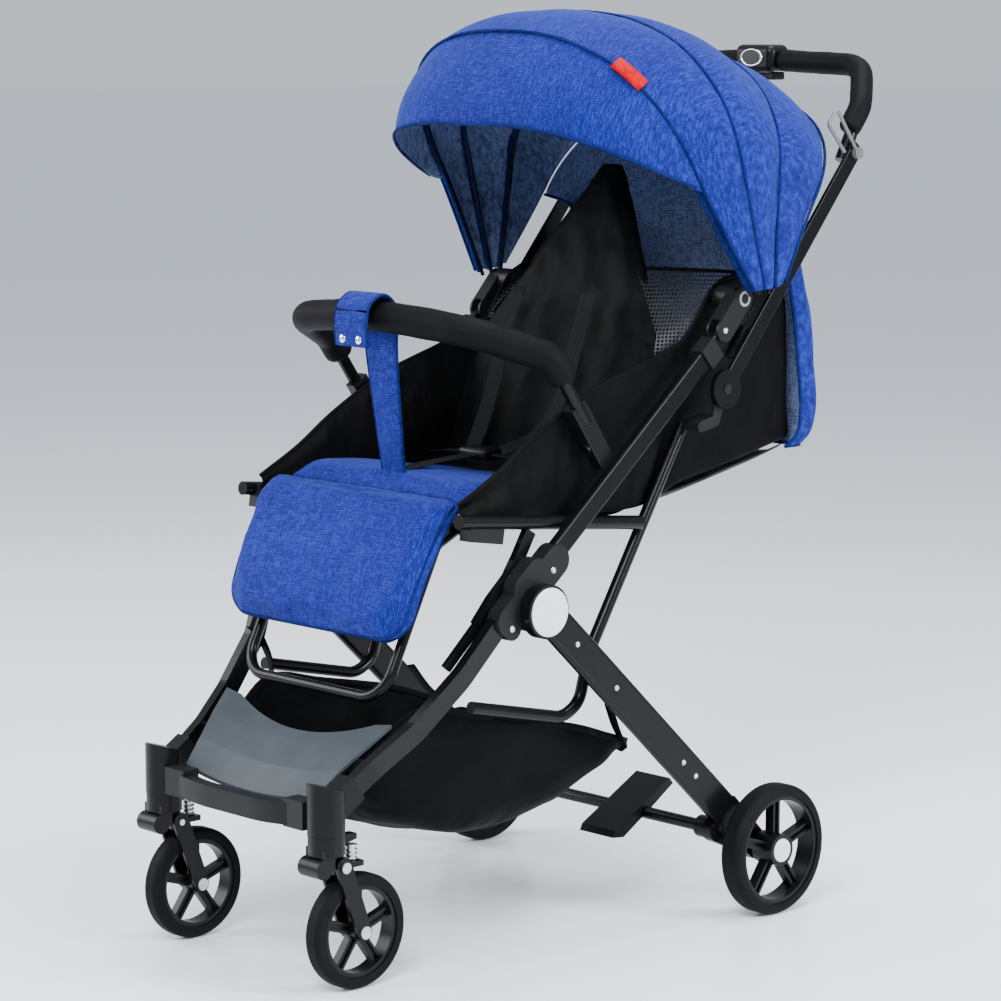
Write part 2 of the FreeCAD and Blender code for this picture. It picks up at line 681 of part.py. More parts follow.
def canopy():
    for name in ("front", "mid", "rear"):
        add("canopy_bow_" + name, bow(name))
    skin = FABRIC
    front = facet_sheet(
        [visor_edge(0), visor_root(0)],
        [visor_edge(skin), visor_root(skin)],
    )
    gore = strip([
        (arch("front", 0), arch("front", skin)),
        (arch("mid", 0), arch("mid", skin)),
    ])
    add("canopy_front", Part.makeCompound([front, gore]))
    rear = strip([
        (arch("mid", 0), arch("mid", skin)),
        (arch("rear", 0), arch("rear", skin)),
    ])
    hem = strip([
        (arch("rear", 0), arch("rear", skin)),
        (arch("hem", 0), arch("hem", skin)),
    ])
    add("canopy_rear", Part.makeCompound([rear, hem]))


# ---------------------------------------------------------------- seat and soft parts
def extruded(points, x0, x1, soften=0.0):
    solid = plate(points, x0, x1)
    return solid.makeFillet(soften, solid.Edges) if soften else solid


def seat_soft():
    cushion = extruded(
        [(-180, 505), (-178, 524), (-120, 524), (24, 502), (24, 486), (-120, 504)], -158, 158, 3
    )
    add("seat_cushion", cushion)
    side = plate(
        [(-214, 512), (-110, 580), (-30, 622), (130, 668), (176, 736), (236, 738), (236, 560),
         (120, 506), (60, 500), (-60, 512)],
        166,
        169,
    )
    side = side.cut(pin(160, 175, HINGE[0], HINGE[1], 14.6))
    add_both("side_panels", side)
    tilt = math.radians(BACK_ANGLE)
    hy, hz = BACK_HINGE
    dy, dz = math.cos(tilt), math.sin(tilt)
    outline = [
        Vector(x, hy + up * dy, hz + up * dz)
        for x, up in [(-150, 12), (150, 12), (150, 195), (12, BACK_LENGTH), (-12, BACK_LENGTH), (-150, 195)]
    ]
    face = Part.Face(Part.makePolygon(outline + outline[:1]))
    board = face.extrude(Vector(0, BACK_THICK * dz, -BACK_THICK * dy))
    add("backrest", board.makeFillet(3, board.Edges))
    shell_out = [(118, 498), (236, 520), (318, 545), (322, 640), (312, 730), (300, 800)]
    shell_in = [(y - 3, z + 3) for y, z in shell_out]
    boot = plate(shell_out + list(reversed(shell_in)), -170, 170)
    cheek = plate(
        [(122, 502), (236, 523), (315, 548), (319, 640), (309, 730), (300, 770), (250, 740), (240, 560)],
        170.5,
        173,
    )
    add("seat_boot", boot, cheek, mirrored(cheek))


def restraints(bar):
    """The crotch strap round the front bar, and the harness with its buckle."""
    half = 24.0
    inside = bent_tube(bar[0], BUMPER_FOAM_R + 0.5, bar[1])
    fold = bent_tube(bar[0], BUMPER_FOAM_R + 3.7, bar[1]).cut(inside)
    fold = fold.common(box(-half, half, -260, -150, 660, 760))
    tail = plate(
        [(-170, 529), (-186, 620), (-190, 692), (-186, 692), (-181, 620), (-165, 529)],
        -half,
        half,
    )
    tail = tail.cut(inside)
    add("crotch_strap", fold.fuse(tail).removeSplitter())
    buckle = box(-22, 22, -46, -16, 530, 542)
    straps = []
    for s in (-1, 1):
        a, b = Vector(s * 30, -22, 537), Vector(s * 140, 22, 520)
        lap = Part.makeBox(22, 2, (b - a).Length, Vector(-11, -1, 0))
        lap.Placement = Placement(a, Rotation(Vector(0, 0, 1), b - a))
        straps.append(lap.cut(buckle))
    add("harness", buckle.makeFillet(3, buckle.Edges), *straps)


def leg_rest():
    """The calf support: a bent tube and its pad, hinged at the front of the seat."""
    x = 118.0
    top, low = (-198, 487), (-289, 303)
    knee = along(top, low, 0.12)
    run = [(x, LEG_REST_HINGE[0], LEG_REST_HINGE[1]), (x, *knee), (x, *low)]
    run += [(-px, py, pz) for px, py, pz in reversed(run)]
    tube = bent_tube(run, LEG_REST_TUBE_R, [14, 34, 34, 14])
    eye = pin(x - 9, x + 9, *LEG_REST_HINGE, 10.5)
    bore = pin(x - 10, x + 10, *LEG_REST_HINGE, SEAT_CROSS_R + RUNNING_GAP)
    tube = tube.multiFuse(both(eye)).removeSplitter()
    for hole in both(bore):
        tube = tube.cut(hole)
    add("leg_rest_tube", tube)
    dy, dz = low[0] - top[0], low[1] - top[1]
    n = math.hypot(dy, dz)
    out_y, out_z = dz / n, -dy / n

    def off(share, gap):
        y, z = along(top, low, share)
        return (y + out_y * gap, z + out_z * gap)

    pad = [off(0.0, 6.4), off(-0.01, 24), off(0.12, 29), off(0.5, 27), off(0.74, 23), off(0.76, 6.4)]
    add("leg_rest_pad", extruded(pad, -146, 146, 3))


def bumper():
    """The removable front bar, its foam and the mounts that it plugs into."""
    x = 186.0
    foot, knee = (-47.8, 592.4), (-100, 668)
    run = [(x, foot[0], foot[1]), (x, knee[0], knee[1]), (142, -178, 698), (0, -204, 712)]
    run += [(-px, py, pz) for px, py, pz in reversed(run[:3])]
    bends = [60, 60, 350, 60, 60]
    tube = bent_tube(run, BUMPER_TUBE_R, bends)
    add("bumper_tube", tube)
    grip = [(x, -83, 643.3)] + run[1:-1] + [(-x, -83, 643.3)]
    add("bumper_foam", bent_tube(grip, BUMPER_FOAM_R, bends).cut(tube))
    upper, lower = along(foot, knee, 0.27), along(foot, knee, -0.62)
    mount = flat_bar(upper, lower, 24, x - 12, x + 5, 2)
    socket = rod((x, foot[0] + 1, foot[1] - 1.4), (x, knee[0], knee[1]), BUMPER_TUBE_R + RUNNING_GAP)
    # the release button stands in the mount's front face
    dy, dz = knee[0] - foot[0], knee[1] - foot[1]
    n = math.hypot(dy, dz)
    in_y, in_z = dz / n, -dy / n
    cy, cz = along(foot, knee, -0.3)
    face = (x - 3, cy - in_y * 15, cz - in_z * 15)
    well = (x - 3, cy - in_y * 5, cz - in_z * 5)
    stop = (x - 3, cy - in_y * 2, cz - in_z * 2)
    mount = mount.cut(socket).cut(rod(face, stop, 6.4))
    add_both("bumper_mounts", mount)
    add_both("bumper_buttons", rod(face, well, 6.0))
    return run, bends


def basket():
    """An open shell of cloth hung between the front tubes and the rear links."""
    # each row: y, rim height, lowest height and half width
    sections = [
        (-330, 226, 212, 108),
        (-236, 286, 142, 132),
        (-150, 266, 124, 150),
        (-40, 244, 136, 158),
        (58, 208, 190, 150),
    ]

    def ring(y, top, low, half, inset):
        h, b = half - inset, low + inset
        side = [(1.0, top), (0.93, b + (top - b) * 0.35), (0.6, b + 4), (0.0, b)]
        pts = [Vector(-h * share, y, z) for share, z in side]
        pts += [Vector(h * share, y, z) for share, z in reversed(side[:3])]
        return Part.makePolygon(pts + pts[:1])

    outer = Part.makeLoft([ring(*s, 0) for s in sections], True, True)
    inner_rows = [(y, top + 1.0, low, half) for y, top, low, half in sections]
    inner_rows[0] = (sections[0][0] + CLOTH, *inner_rows[0][1:])
    inner_rows[-1] = (sections[-1][0] - CLOTH, *inner_rows[-1][1:])
    inner = Part.makeLoft([ring(*s, CLOTH) for s in inner_rows], True, True)
    add("basket", outer.cut(inner))


def build():
    bolt = front_wheels()
    rear_wheels()
    main, front = side_tubes()
    casters(bolt, front)
    cross_castings(main, front)
    rear_legs()
    brake()
    sleeves = front_end()
    ring = upper_brackets(main)
    seat_blocks = seat_frame()
    sleeves_and_rivets(main, ring, sleeves, seat_blocks)
    rear_links()
    push_frame()
    handle_fittings(handle())
    canopy()
    seat_soft()
    leg_rest()
    restraints(bumper())
    basket()


def save():
    os.makedirs("parts", exist_ok=True)
    for name, shape in SHELF.items():
        solids = shape.Solids
        if not solids or not all(s.isValid() for s in solids):
            raise ValueError(name + " is not a valid solid")
        out = solids[0] if len(solids) == 1 else Part.makeCompound(solids)
        out.exportStep("parts/" + name + ".step")


build()
save()
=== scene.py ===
import math

import bpy
import numpy as np
from bpy.props import FloatProperty, FloatVectorProperty, IntProperty, PointerProperty
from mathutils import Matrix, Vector, noise


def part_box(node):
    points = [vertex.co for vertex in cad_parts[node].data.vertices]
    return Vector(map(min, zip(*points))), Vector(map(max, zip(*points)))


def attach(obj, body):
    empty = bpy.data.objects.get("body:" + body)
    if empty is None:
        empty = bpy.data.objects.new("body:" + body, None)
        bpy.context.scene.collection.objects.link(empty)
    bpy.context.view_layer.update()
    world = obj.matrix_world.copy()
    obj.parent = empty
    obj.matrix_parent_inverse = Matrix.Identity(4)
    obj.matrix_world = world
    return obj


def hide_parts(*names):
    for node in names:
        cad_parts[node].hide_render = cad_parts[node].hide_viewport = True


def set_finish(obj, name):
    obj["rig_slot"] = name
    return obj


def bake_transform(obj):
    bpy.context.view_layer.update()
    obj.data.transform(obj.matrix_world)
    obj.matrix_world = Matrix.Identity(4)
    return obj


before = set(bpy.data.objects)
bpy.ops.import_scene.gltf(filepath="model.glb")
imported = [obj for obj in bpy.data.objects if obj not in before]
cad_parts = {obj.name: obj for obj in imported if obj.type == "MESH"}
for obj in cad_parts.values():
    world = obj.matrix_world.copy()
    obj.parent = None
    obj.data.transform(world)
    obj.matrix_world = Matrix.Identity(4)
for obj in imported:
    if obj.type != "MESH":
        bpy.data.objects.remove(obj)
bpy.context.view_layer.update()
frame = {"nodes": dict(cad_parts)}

bl_info = {
    "name": "Baby stroller looks",
    "version": (1, 0, 0),
    "blender": (4, 5, 0),
    "location": "3D View > Sidebar > Stroller",
    "description": "Builds the cloth, foam, finishes and studio around the stroller's frame",
    "category": "Object",
}

# Heights and widths are in metres. Lengths along Y are taken from the frame's own datum,
# DATUM in front of the origin.
DATUM = -0.0226
MATERIALS = {}

# The backrest's plane: its foot (y, z), its lean, and the stretch of it that the pad covers.
BACK_FOOT = (0.032, 0.492)
BACK_TILT = math.radians(69.0)
BACK_START = 0.014
BACK_RUN = 0.396

# The main view: its turn round the stroller and its height as angles, then metres and millimetres.
CAMERA_AROUND = math.radians(46.4352)
CAMERA_ABOVE = math.radians(8.2117)
CAMERA_TARGET = (0, DATUM, 0.4812)
CAMERA_AWAY = 3.8311
CAMERA_LENS = 118.64
CAMERA_SENSOR = 36.0

FLOOR_REACH = 40.0
FLOOR_DROP = 0.0003


# ------------------------------------------------------------------ settings
class StrollerSizes(bpy.types.PropertyGroup):
    """Sizes of the soft pieces"""

    canopy_puff: FloatProperty(
        name="Canopy fullness", description="How far each panel rises between two bows",
        default=0.007, min=0.0, max=0.02, unit="LENGTH")
    cloth: FloatProperty(
        name="Cloth thickness", description="Thickness of the canopy and seat cloth",
        default=0.0022, min=0.001, max=0.004, unit="LENGTH")
    piping: FloatProperty(
        name="Piping radius", description="Radius of the cord sewn along the seams",
        default=0.0019, min=0.001, max=0.004, unit="LENGTH")
    foam: FloatProperty(
        name="Front bar foam radius", description="Radius of the foam round the front bar",
        default=0.0175, min=0.012, max=0.02, unit="LENGTH")
    grip: FloatProperty(
        name="Handle foam radius", description="Radius of the foam round the handle",
        default=0.0135, min=0.011, max=0.016, unit="LENGTH")
    pad_voxel: FloatProperty(
        name="Pad mesh size", description="Mesh size of a stuffed pad before it is inflated",
        default=0.0055, min=0.004, max=0.006, unit="LENGTH")
    pad_rise: FloatProperty(
        name="Pad rise", description="The most that a pad's cloth moves as it is inflated",
        default=0.009, min=0.002, max=0.016, unit="LENGTH")
    frames: IntProperty(
        name="Cloth frames", description="Frames that a pad's cloth is simulated for",
        default=20, min=5, max=30)


class StrollerColours(bpy.types.PropertyGroup):
    """Colours of the pieces, as linear light"""

    canopy: FloatVectorProperty(
        name="Blue cloth", description="Middle tone of the heathered blue cloth",
        default=(0.0042, 0.0085, 0.145), subtype="COLOR", size=3, min=0, max=1)
    piping: FloatVectorProperty(
        name="Piping", description="Cord along the seams",
        default=(0.0040, 0.0100, 0.070), subtype="COLOR", size=3, min=0, max=1)
    # The lining's pale grey-blue is painted light: the blue cloth as it looks with light shining through
    # it from behind, not a paler cloth.
    lining: FloatVectorProperty(
        name="Canopy lining", description="Middle tone of the canopy's inner side",
        default=(0.115, 0.155, 0.290), subtype="COLOR", size=3, min=0, max=1)
    black_cloth: FloatVectorProperty(
        name="Black cloth", description="Seat sides, backrest and basket",
        default=(0.0024, 0.0025, 0.0028), subtype="COLOR", size=3, min=0, max=1)
    frame: FloatVectorProperty(
        name="Frame", description="Painted tubes",
        default=(0.0024, 0.0027, 0.0030), subtype="COLOR", size=3, min=0, max=1)
    bracket: FloatVectorProperty(
        name="Brackets", description="Moulded brackets and castings",
        default=(0.0060, 0.0072, 0.0074), subtype="COLOR", size=3, min=0, max=1)
    silver: FloatVectorProperty(
        name="Silver", description="Hub caps and round covers",
        default=(0.700, 0.735, 0.750), subtype="COLOR", size=3, min=0, max=1)
    footrest: FloatVectorProperty(
        name="Footrest", description="Moulded footrest",
        default=(0.034, 0.042, 0.050), subtype="COLOR", size=3, min=0, max=1)
    tag: FloatVectorProperty(
        name="Tag", description="Small blank tag on the canopy's seam",
        default=(0.380, 0.0012, 0.004), subtype="COLOR", size=3, min=0, max=1)


def sizes():
    return bpy.context.scene.stroller_sizes


def colours():
    return bpy.context.scene.stroller_colours


# ------------------------------------------------------------------ materials
def shader(name):
    """A new material, its node tree and its Principled shader."""
    mat = bpy.data.materials.new(name)
    mat.use_nodes = True
    tree = mat.node_tree
    return mat, tree, tree.nodes["Principled BSDF"]


def node(tree, kind, values=(), **settings):
    """A new shader node with its input values and its settings."""
    made = tree.nodes.new(kind)
    for key, value in settings.items():
        setattr(made, key, value)
    for key, value in dict(values).items():
        made.inputs[key].default_value = value
    return made


def place(tree, scale):
    """Object coordinates stretched by scale, for streaks and weaves."""
    coords = node(tree, "ShaderNodeTexCoord")
    mapping = node(tree, "ShaderNodeMapping", {"Scale": scale})
    tree.links.new(coords.outputs["Object"], mapping.inputs["Vector"])
    return mapping.outputs["Vector"]


def noise_of(tree, scale, detail=3.0, rough=0.55):
    """Noise with so many waves in a metre along X, Y and Z."""
    tex = node(tree, "ShaderNodeTexNoise", {"Scale": 1.0, "Detail": detail, "Roughness": rough})
    tree.links.new(place(tree, scale), tex.inputs["Vector"])
    return tex.outputs["Fac"]


def maths(tree, operation, a, b):
    """One sum of two numbers or sockets."""
    made = node(tree, "ShaderNodeMath", operation=operation)
    for socket, value in zip(made.inputs, (a, b)):
        if isinstance(value, (int, float)):
            socket.default_value = value
        else:
            tree.links.new(value, socket)
    return made.outputs[0]


def ramp(tree, fac, stops):
    """Colours looked up by fac between stops of (place, colour)."""
    made = node(tree, "ShaderNodeValToRGB")
    line = made.color_ramp
    while len(line.elements) < len(stops):
        line.elements.new(0.5)
    for element, (at, colour) in zip(line.elements, stops):
        element.position = at
        element.color = (*colour, 1.0)
    tree.links.new(fac, made.inputs["Fac"])
    return made.outputs["Color"]


def bump(tree, bsdf, height, strength, distance):
    """Relief laid over any that the shader already has."""
    made = node(tree, "ShaderNodeBump", {"Strength": strength, "Distance": distance})
    tree.links.new(height, made.inputs["Height"])
    if bsdf.inputs["Normal"].links:
        tree.links.new(bsdf.inputs["Normal"].links[0].from_socket, made.inputs["Normal"])
    tree.links.new(made.outputs["Normal"], bsdf.inputs["Normal"])


def shade(colour, share):
    """A colour made darker or lighter."""
    return tuple(min(1.0, c * share) for c in colour)


def heather(name, colour, contrast=1.0, sheen=0.10):
    """Woven cloth from mixed yarns: short streaks along and across, and a fine weave."""
    mat, tree, bsdf = shader(name)
    weft = noise_of(tree, (90, 900, 900), 2.0)
    warp = noise_of(tree, (900, 100, 100), 2.0)
    cloud = noise_of(tree, (9, 9, 9), 3.0)
    yarn = maths(tree, "ADD", maths(tree, "MULTIPLY", weft, 0.5), maths(tree, "MULTIPLY", warp, 0.5))
    drift = maths(tree, "MULTIPLY", maths(tree, "SUBTRACT", cloud, 0.5), 0.12)
    tone = maths(tree, "ADD", yarn, drift)
    low, high = 0.5 - 0.13 / contrast, 0.5 + 0.13 / contrast
    pale = tuple(0.90 * c + 0.10 * g for c, g in zip(shade(colour, 1.5), (0.10, 0.20, 0.55)))
    shown = ramp(tree, tone, [(low, shade(colour, 0.45)), (0.5, colour), (high, pale)])
    tree.links.new(shown, bsdf.inputs["Base Color"])
    bsdf.inputs["Roughness"].default_value = 0.82
    bsdf.inputs["Sheen Weight"].default_value = sheen
    bsdf.inputs["Sheen Roughness"].default_value = 0.45
    bsdf.inputs["Sheen Tint"].default_value = (0.25, 0.42, 0.95, 1.0)
    bsdf.inputs["Specular IOR Level"].default_value = 0.12
    bump(tree, bsdf, yarn, 0.35, 0.0009)
    bump(tree, bsdf, noise_of(tree, (16, 20, 14), 3.0), 0.30, 0.012)
    return mat


def black_cloth(name, colour, rough=0.55, folds=(10, 14, 7), sheen=0.004):
    """Plain black woven cloth with soft creases."""
    mat, tree, bsdf = shader(name)
    weave = noise_of(tree, (900, 900, 900), 1.0)
    tone = noise_of(tree, (14, 14, 14), 3.0)
    shown = ramp(tree, tone, [(0.3, shade(colour, 0.8)), (0.7, shade(colour, 1.35))])
    tree.links.new(shown, bsdf.inputs["Base Color"])
    bsdf.inputs["Roughness"].default_value = rough
    bsdf.inputs["Sheen Weight"].default_value = sheen
    bsdf.inputs["Sheen Roughness"].default_value = 0.4
    bsdf.inputs["Specular IOR Level"].default_value = 0.035
    bump(tree, bsdf, weave, 0.25, 0.0006)
    bump(tree, bsdf, noise_of(tree, folds, 2.5), 0.55, 0.030)
    return mat


def mesh_cloth(name, colour, pitch=0.0042, hole=0.36):
    """Black net: round holes on a square grid, seen across X and Z or Y and Z."""
    mat, tree, bsdf = shader(name)
    bsdf.inputs["Base Color"].default_value = (*shade(colour, 1.6), 1)
    bsdf.inputs["Roughness"].default_value = 0.6
    coords = node(tree, "ShaderNodeTexCoord")
    split = node(tree, "ShaderNodeSeparateXYZ")
    tree.links.new(coords.outputs["Object"], split.inputs["Vector"])
    parts = []
    skew = maths(tree, "MULTIPLY", split.outputs["Y"], 0.55)
    across = maths(tree, "ADD", split.outputs["X"], skew)
    for value in (across, split.outputs["Z"]):
        cell = maths(tree, "FRACT", maths(tree, "MULTIPLY", value, 1.0 / pitch), 0.0)
        parts.append(maths(tree, "POWER", maths(tree, "SUBTRACT", cell, 0.5), 2.0))
    far = maths(tree, "POWER", maths(tree, "ADD", parts[0], parts[1]), 0.5)
    solid = maths(tree, "GREATER_THAN", far, hole)
    tree.links.new(solid, bsdf.inputs["Alpha"])
    return mat


def paint(name, colour, rough=0.36, metallic=0.0, grain=0.10, wear=0.10):
    """Satin paint or moulded plastic: fine texture, uneven gloss and slightly rubbed tone."""
    mat, tree, bsdf = shader(name)
    tone = noise_of(tree, (22, 22, 22), 4.0)
    shown = ramp(tree, tone, [(0.30, shade(colour, 1 - wear)), (0.72, shade(colour, 1 + 2 * wear))])
    tree.links.new(shown, bsdf.inputs["Base Color"])
    uneven = maths(tree, "MULTIPLY", noise_of(tree, (60, 60, 60)), 0.10)
    gloss = maths(tree, "ADD", rough - 0.05, uneven)
    tree.links.new(gloss, bsdf.inputs["Roughness"])
    bsdf.inputs["Metallic"].default_value = metallic
    bsdf.inputs["Specular IOR Level"].default_value = 0.14
    bump(tree, bsdf, noise_of(tree, (1400, 1400, 1400), 1.0), grain, 0.0003)
    return mat


def foam_rubber(name, colour):
    """Matt foam or rubber with fine cells."""
    mat, tree, bsdf = shader(name)
    cells = noise_of(tree, (1500, 1500, 1500), 2.0)
    tone = noise_of(tree, (30, 30, 30))
    shown = ramp(tree, tone, [(0.3, shade(colour, 0.85)), (0.7, shade(colour, 1.2))])
    tree.links.new(shown, bsdf.inputs["Base Color"])
    bsdf.inputs["Roughness"].default_value = 0.60
    bsdf.inputs["Specular IOR Level"].default_value = 0.06
    bump(tree, bsdf, cells, 0.30, 0.0005)
    bump(tree, bsdf, noise_of(tree, (40, 40, 40)), 0.12, 0.004)
    return mat


def make_materials():
    c = colours()
    black = tuple(c.black_cloth)
    MATERIALS.update({
        "canopy": heather("canopy_cloth", tuple(c.canopy)),
        "blue_seat": heather("seat_cloth", tuple(c.canopy), 1.0),
        "piping": black_cloth("piping", tuple(c.piping), 0.7, (60, 60, 60)),
        # The lining's pale colour is painted backlight: light through the canopy cloth, painted on its
        # inner side.
        "lining": heather("canopy_lining_painted_backlight", tuple(c.lining), 1.25, 0.1),
        "black": black_cloth("black_cloth", black),
        "basket": black_cloth("basket_cloth", shade(black, 1.1), 0.6, (12, 9, 12)),
        "webbing": black_cloth("webbing", (0.008, 0.0085, 0.010), 0.6, (500, 30, 30)),
        "mesh": mesh_cloth("mesh", black),
        "frame": paint("frame_paint", tuple(c.frame), 0.25, grain=0.03),
        "bracket": paint("bracket_paint", tuple(c.bracket), 0.42, grain=0.2),
        "disc": paint("disc_silver", tuple(c.silver), 0.38, 0.35, 0.05, 0.04),
        "cap": paint("cap_silver", tuple(c.silver), 0.36, 0.35, 0.05, 0.04),
        "plastic": paint("black_plastic", (0.0028, 0.0031, 0.0034), 0.34, grain=0.2),
        "rim": paint("rim_plastic", (0.0040, 0.0042, 0.0045), 0.30, grain=0.05),
        "tyre": foam_rubber("tyre_rubber", (0.0042, 0.0044, 0.0048)),
        "steel": paint("zinc_steel", (0.50, 0.50, 0.51), 0.30, 0.95, 0.05, 0.08),
        "chrome": paint("snap_metal", (0.70, 0.70, 0.71), 0.16, 1.0, 0.0, 0.03),
        "hook": paint("hook_metal", (0.13, 0.135, 0.14), 0.36, 0.5, 0.05),
        "foam": foam_rubber("grip_foam", (0.0026, 0.0028, 0.0036)),
        "footrest": paint("footrest_plastic", tuple(c.footrest), 0.34, grain=0.15),
        "tag": black_cloth("tag_cloth", tuple(c.tag), 0.5, (60, 60, 60)),
        "badge": paint("badge_plate", (0.010, 0.010, 0.011), 0.25, grain=0.0),
    })


# ------------------------------------------------------------------ geometry
def at(x, y, z):
    """A point of the row's frame from one along the datum."""
    return Vector((x, y + DATUM, z))


def new_mesh(name, verts, faces, material, slot):
    data = bpy.data.meshes.new(name)
    data.from_pydata([tuple(v) for v in verts], [], faces)
    data.validate()
    data.update()
    for poly in data.polygons:
        poly.use_smooth = True
    obj = bpy.data.objects.new(name, data)
    bpy.context.collection.objects.link(obj)
    for key in [material] if isinstance(material, str) else material:
        data.materials.append(MATERIALS[key])
    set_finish(obj, slot)
    return obj


def grid(name, rows, material, slot, closed=False):
    """A sheet of quads through equal rows of points; closed joins each row's ends."""
    wide = len(rows[0])
    verts = [p for row in rows for p in row]
    faces = []
    for k in range(len(rows) - 1):
        for i in range(wide if closed else wide - 1):
            j = (i + 1) % wide
            faces.append((k * wide + i, k * wide + j, (k + 1) * wide + j, (k + 1) * wide + i))
    return new_mesh(name, verts, faces, material, slot)


def apply_modifiers(obj):
    graph = bpy.context.evaluated_depsgraph_get()
    data = bpy.data.meshes.new_from_object(obj.evaluated_get(graph), depsgraph=graph)
    obj.modifiers.clear()
    obj.data = data
    for poly in obj.data.polygons:
        poly.use_smooth = True
    return obj


def thicken(obj, thickness, offset=-1.0, inner=0):
    mod = obj.modifiers.new("thick", "SOLIDIFY")
    mod.thickness = thickness
    mod.offset = offset
    mod.material_offset = inner
    mod.material_offset_rim = 0
    return apply_modifiers(obj)


def subdivide(obj, levels=1):
    mod = obj.modifiers.new("smooth", "SUBSURF")
    mod.levels = mod.render_levels = levels
    return apply_modifiers(obj)


def crumple(obj, amount, size, seed=0.0):
    """Gentle creases: each point moves along its normal by smooth noise."""
    data = obj.data
    normals = [v.normal.copy() for v in data.vertices]
    for v, n in zip(data.vertices, normals):
        p = v.co / size + Vector((seed, seed * 0.7, -seed))
        v.co = v.co + n * (amount * (noise.noise(p) + 0.45 * noise.noise(p * 2.3)))
    data.update()
    return obj


def spline(points, per=8):
    """A smooth curve through points."""
    pts = [Vector(p) for p in points]
    out = []
    for k in range(len(pts) - 1):
        p1, p2 = pts[k], pts[k + 1]
        p0 = pts[k - 1] if k else p1 * 2 - p2
        p3 = pts[k + 2] if k + 2 < len(pts) else p2 * 2 - p1
        for i in range(per):
            t = i / per
            a = p1 * 2
            b = (p2 - p0) * t
            c = (p0 * 2 - p1 * 5 + p2 * 4 - p3) * t * t
            d = (p1 * 3 - p0 - p2 * 3 + p3) * t ** 3
            out.append((a + b + c + d) * 0.5)
    out.append(pts[-1])
    return out


def sweep(name, points, section, material, slot, closed=False, up=Vector((0, 0, 1))):
    """A tube along points. section(share along, angle) gives its (side, height) offsets."""
    ring = 20
    rows = []
    count = len(points)
    for k, p in enumerate(points):
        nxt = points[(k + 1) % count] if closed or k + 1 < count else p
        prv = points[k - 1] if closed or k else p
        ahead = (nxt - prv).normalized()
        side = ahead.cross(up).normalized()
        top = side.cross(ahead)
        share = k / (count - 1)
        rows.append([
            p + side * s + top * h
            for s, h in (section(share, 2 * math.pi * i / ring) for i in range(ring))
        ])
    if closed:
        rows.append(rows[0])
    obj = grid(name, rows, material, slot, closed=True)
    if not closed:
        data = obj.data
        verts = [v.co.copy() for v in data.vertices]
        faces = [tuple(f.vertices) for f in data.polygons]
        faces.append(tuple(range(ring))[::-1])
        faces.append(tuple(range((count - 1) * ring, count * ring)))
        bpy.data.objects.remove(obj)
        obj = new_mesh(name, verts, faces, material, slot)
    return obj


def round_section(radius, ends=0.0):
    """A round section whose ends close in over the share ends of the length."""
    def section(share, angle):
        edge = min(share, 1 - share)
        r = radius
        if ends and edge < ends:
            r = radius * (0.80 + 0.20 * math.sqrt(max(0.0, 1 - (1 - edge / ends) ** 2)))
        return r * math.cos(angle), r * math.sin(angle)
    return section


def strap_section(half, thick):
    """A flat section with rounded edges."""
    def section(share, angle):
        c, s = math.cos(angle), math.sin(angle)
        flat = 0.30
        return half * math.copysign(abs(c) ** flat, c), thick * math.copysign(abs(s) ** 0.8, s)
    return section


def joined(name, pieces):
    """Several meshes made into one, which keeps the first one's slot."""
    verts, faces, marks, mats = [], [], [], []
    for piece in pieces:
        base = len(verts)
        verts += [v.co.copy() for v in piece.data.vertices]
        for poly in piece.data.polygons:
            mat = piece.data.materials[poly.material_index]
            if mat not in mats:
                mats.append(mat)
            faces.append(tuple(base + i for i in poly.vertices))
            marks.append(mats.index(mat))
    data = bpy.data.meshes.new(name)
    data.from_pydata(verts, [], faces)
    for mat in mats:
        data.materials.append(mat)
    for poly, mark in zip(data.polygons, marks):
        poly.material_index = mark
        poly.use_smooth = True
    obj = bpy.data.objects.new(name, data)
    bpy.context.collection.objects.link(obj)
    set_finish(obj, pieces[0]["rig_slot"])
    for piece in pieces:
        bpy.data.objects.remove(piece)
    return obj


def crown(u, power):
    """How full a pad is from its middle, at 0, to its edge, at 1 or -1."""
    return (1 - abs(u) ** power) ** (1 / power)


def pillow(name, outline, lift, thick, material, slot, power=5.0, across=30, along=26):
    """A pad: outline(v) gives its half width at v from 0 to 1, lift(v) its middle line's
    point (y, z) and normal (y, z). Its two faces meet at the seam round its edge."""
    def face(sign):
        rows = []
        for k in range(along + 1):
            v = k / along
            half = outline(v)
            (y, z), (ny, nz) = lift(v)
            row = []
            for i in range(across + 1):
                u = 2 * i / across - 1
                u = math.copysign(abs(u) ** 0.85, u)
                full = crown(u, power) * crown(2 * v - 1, power)
                t = sign * 0.5 * thick * full
                row.append(at(u * half, y + ny * t, z + nz * t))
            rows.append(row)
        return rows
    top, low = face(1), face(-1)
    verts = [p for row in top for p in row]
    wide = across + 1
    faces = [
        (k * wide + i, k * wide + i + 1, (k + 1) * wide + i + 1, (k + 1) * wide + i)
        for k in range(along) for i in range(across)
    ]
    base = len(verts)
    verts += [p for row in low for p in row]
    faces += [tuple(base + i for i in reversed(f)) for f in list(faces)]
    obj = new_mesh(name, verts, faces, material, slot)
    weld(obj)
    return obj


def weld(obj, distance=0.0003):
    """Joins points that lie together, such as the two faces' seam."""
    mod = obj.modifiers.new("weld", "WELD")
    mod.merge_threshold = distance
    return apply_modifiers(obj)


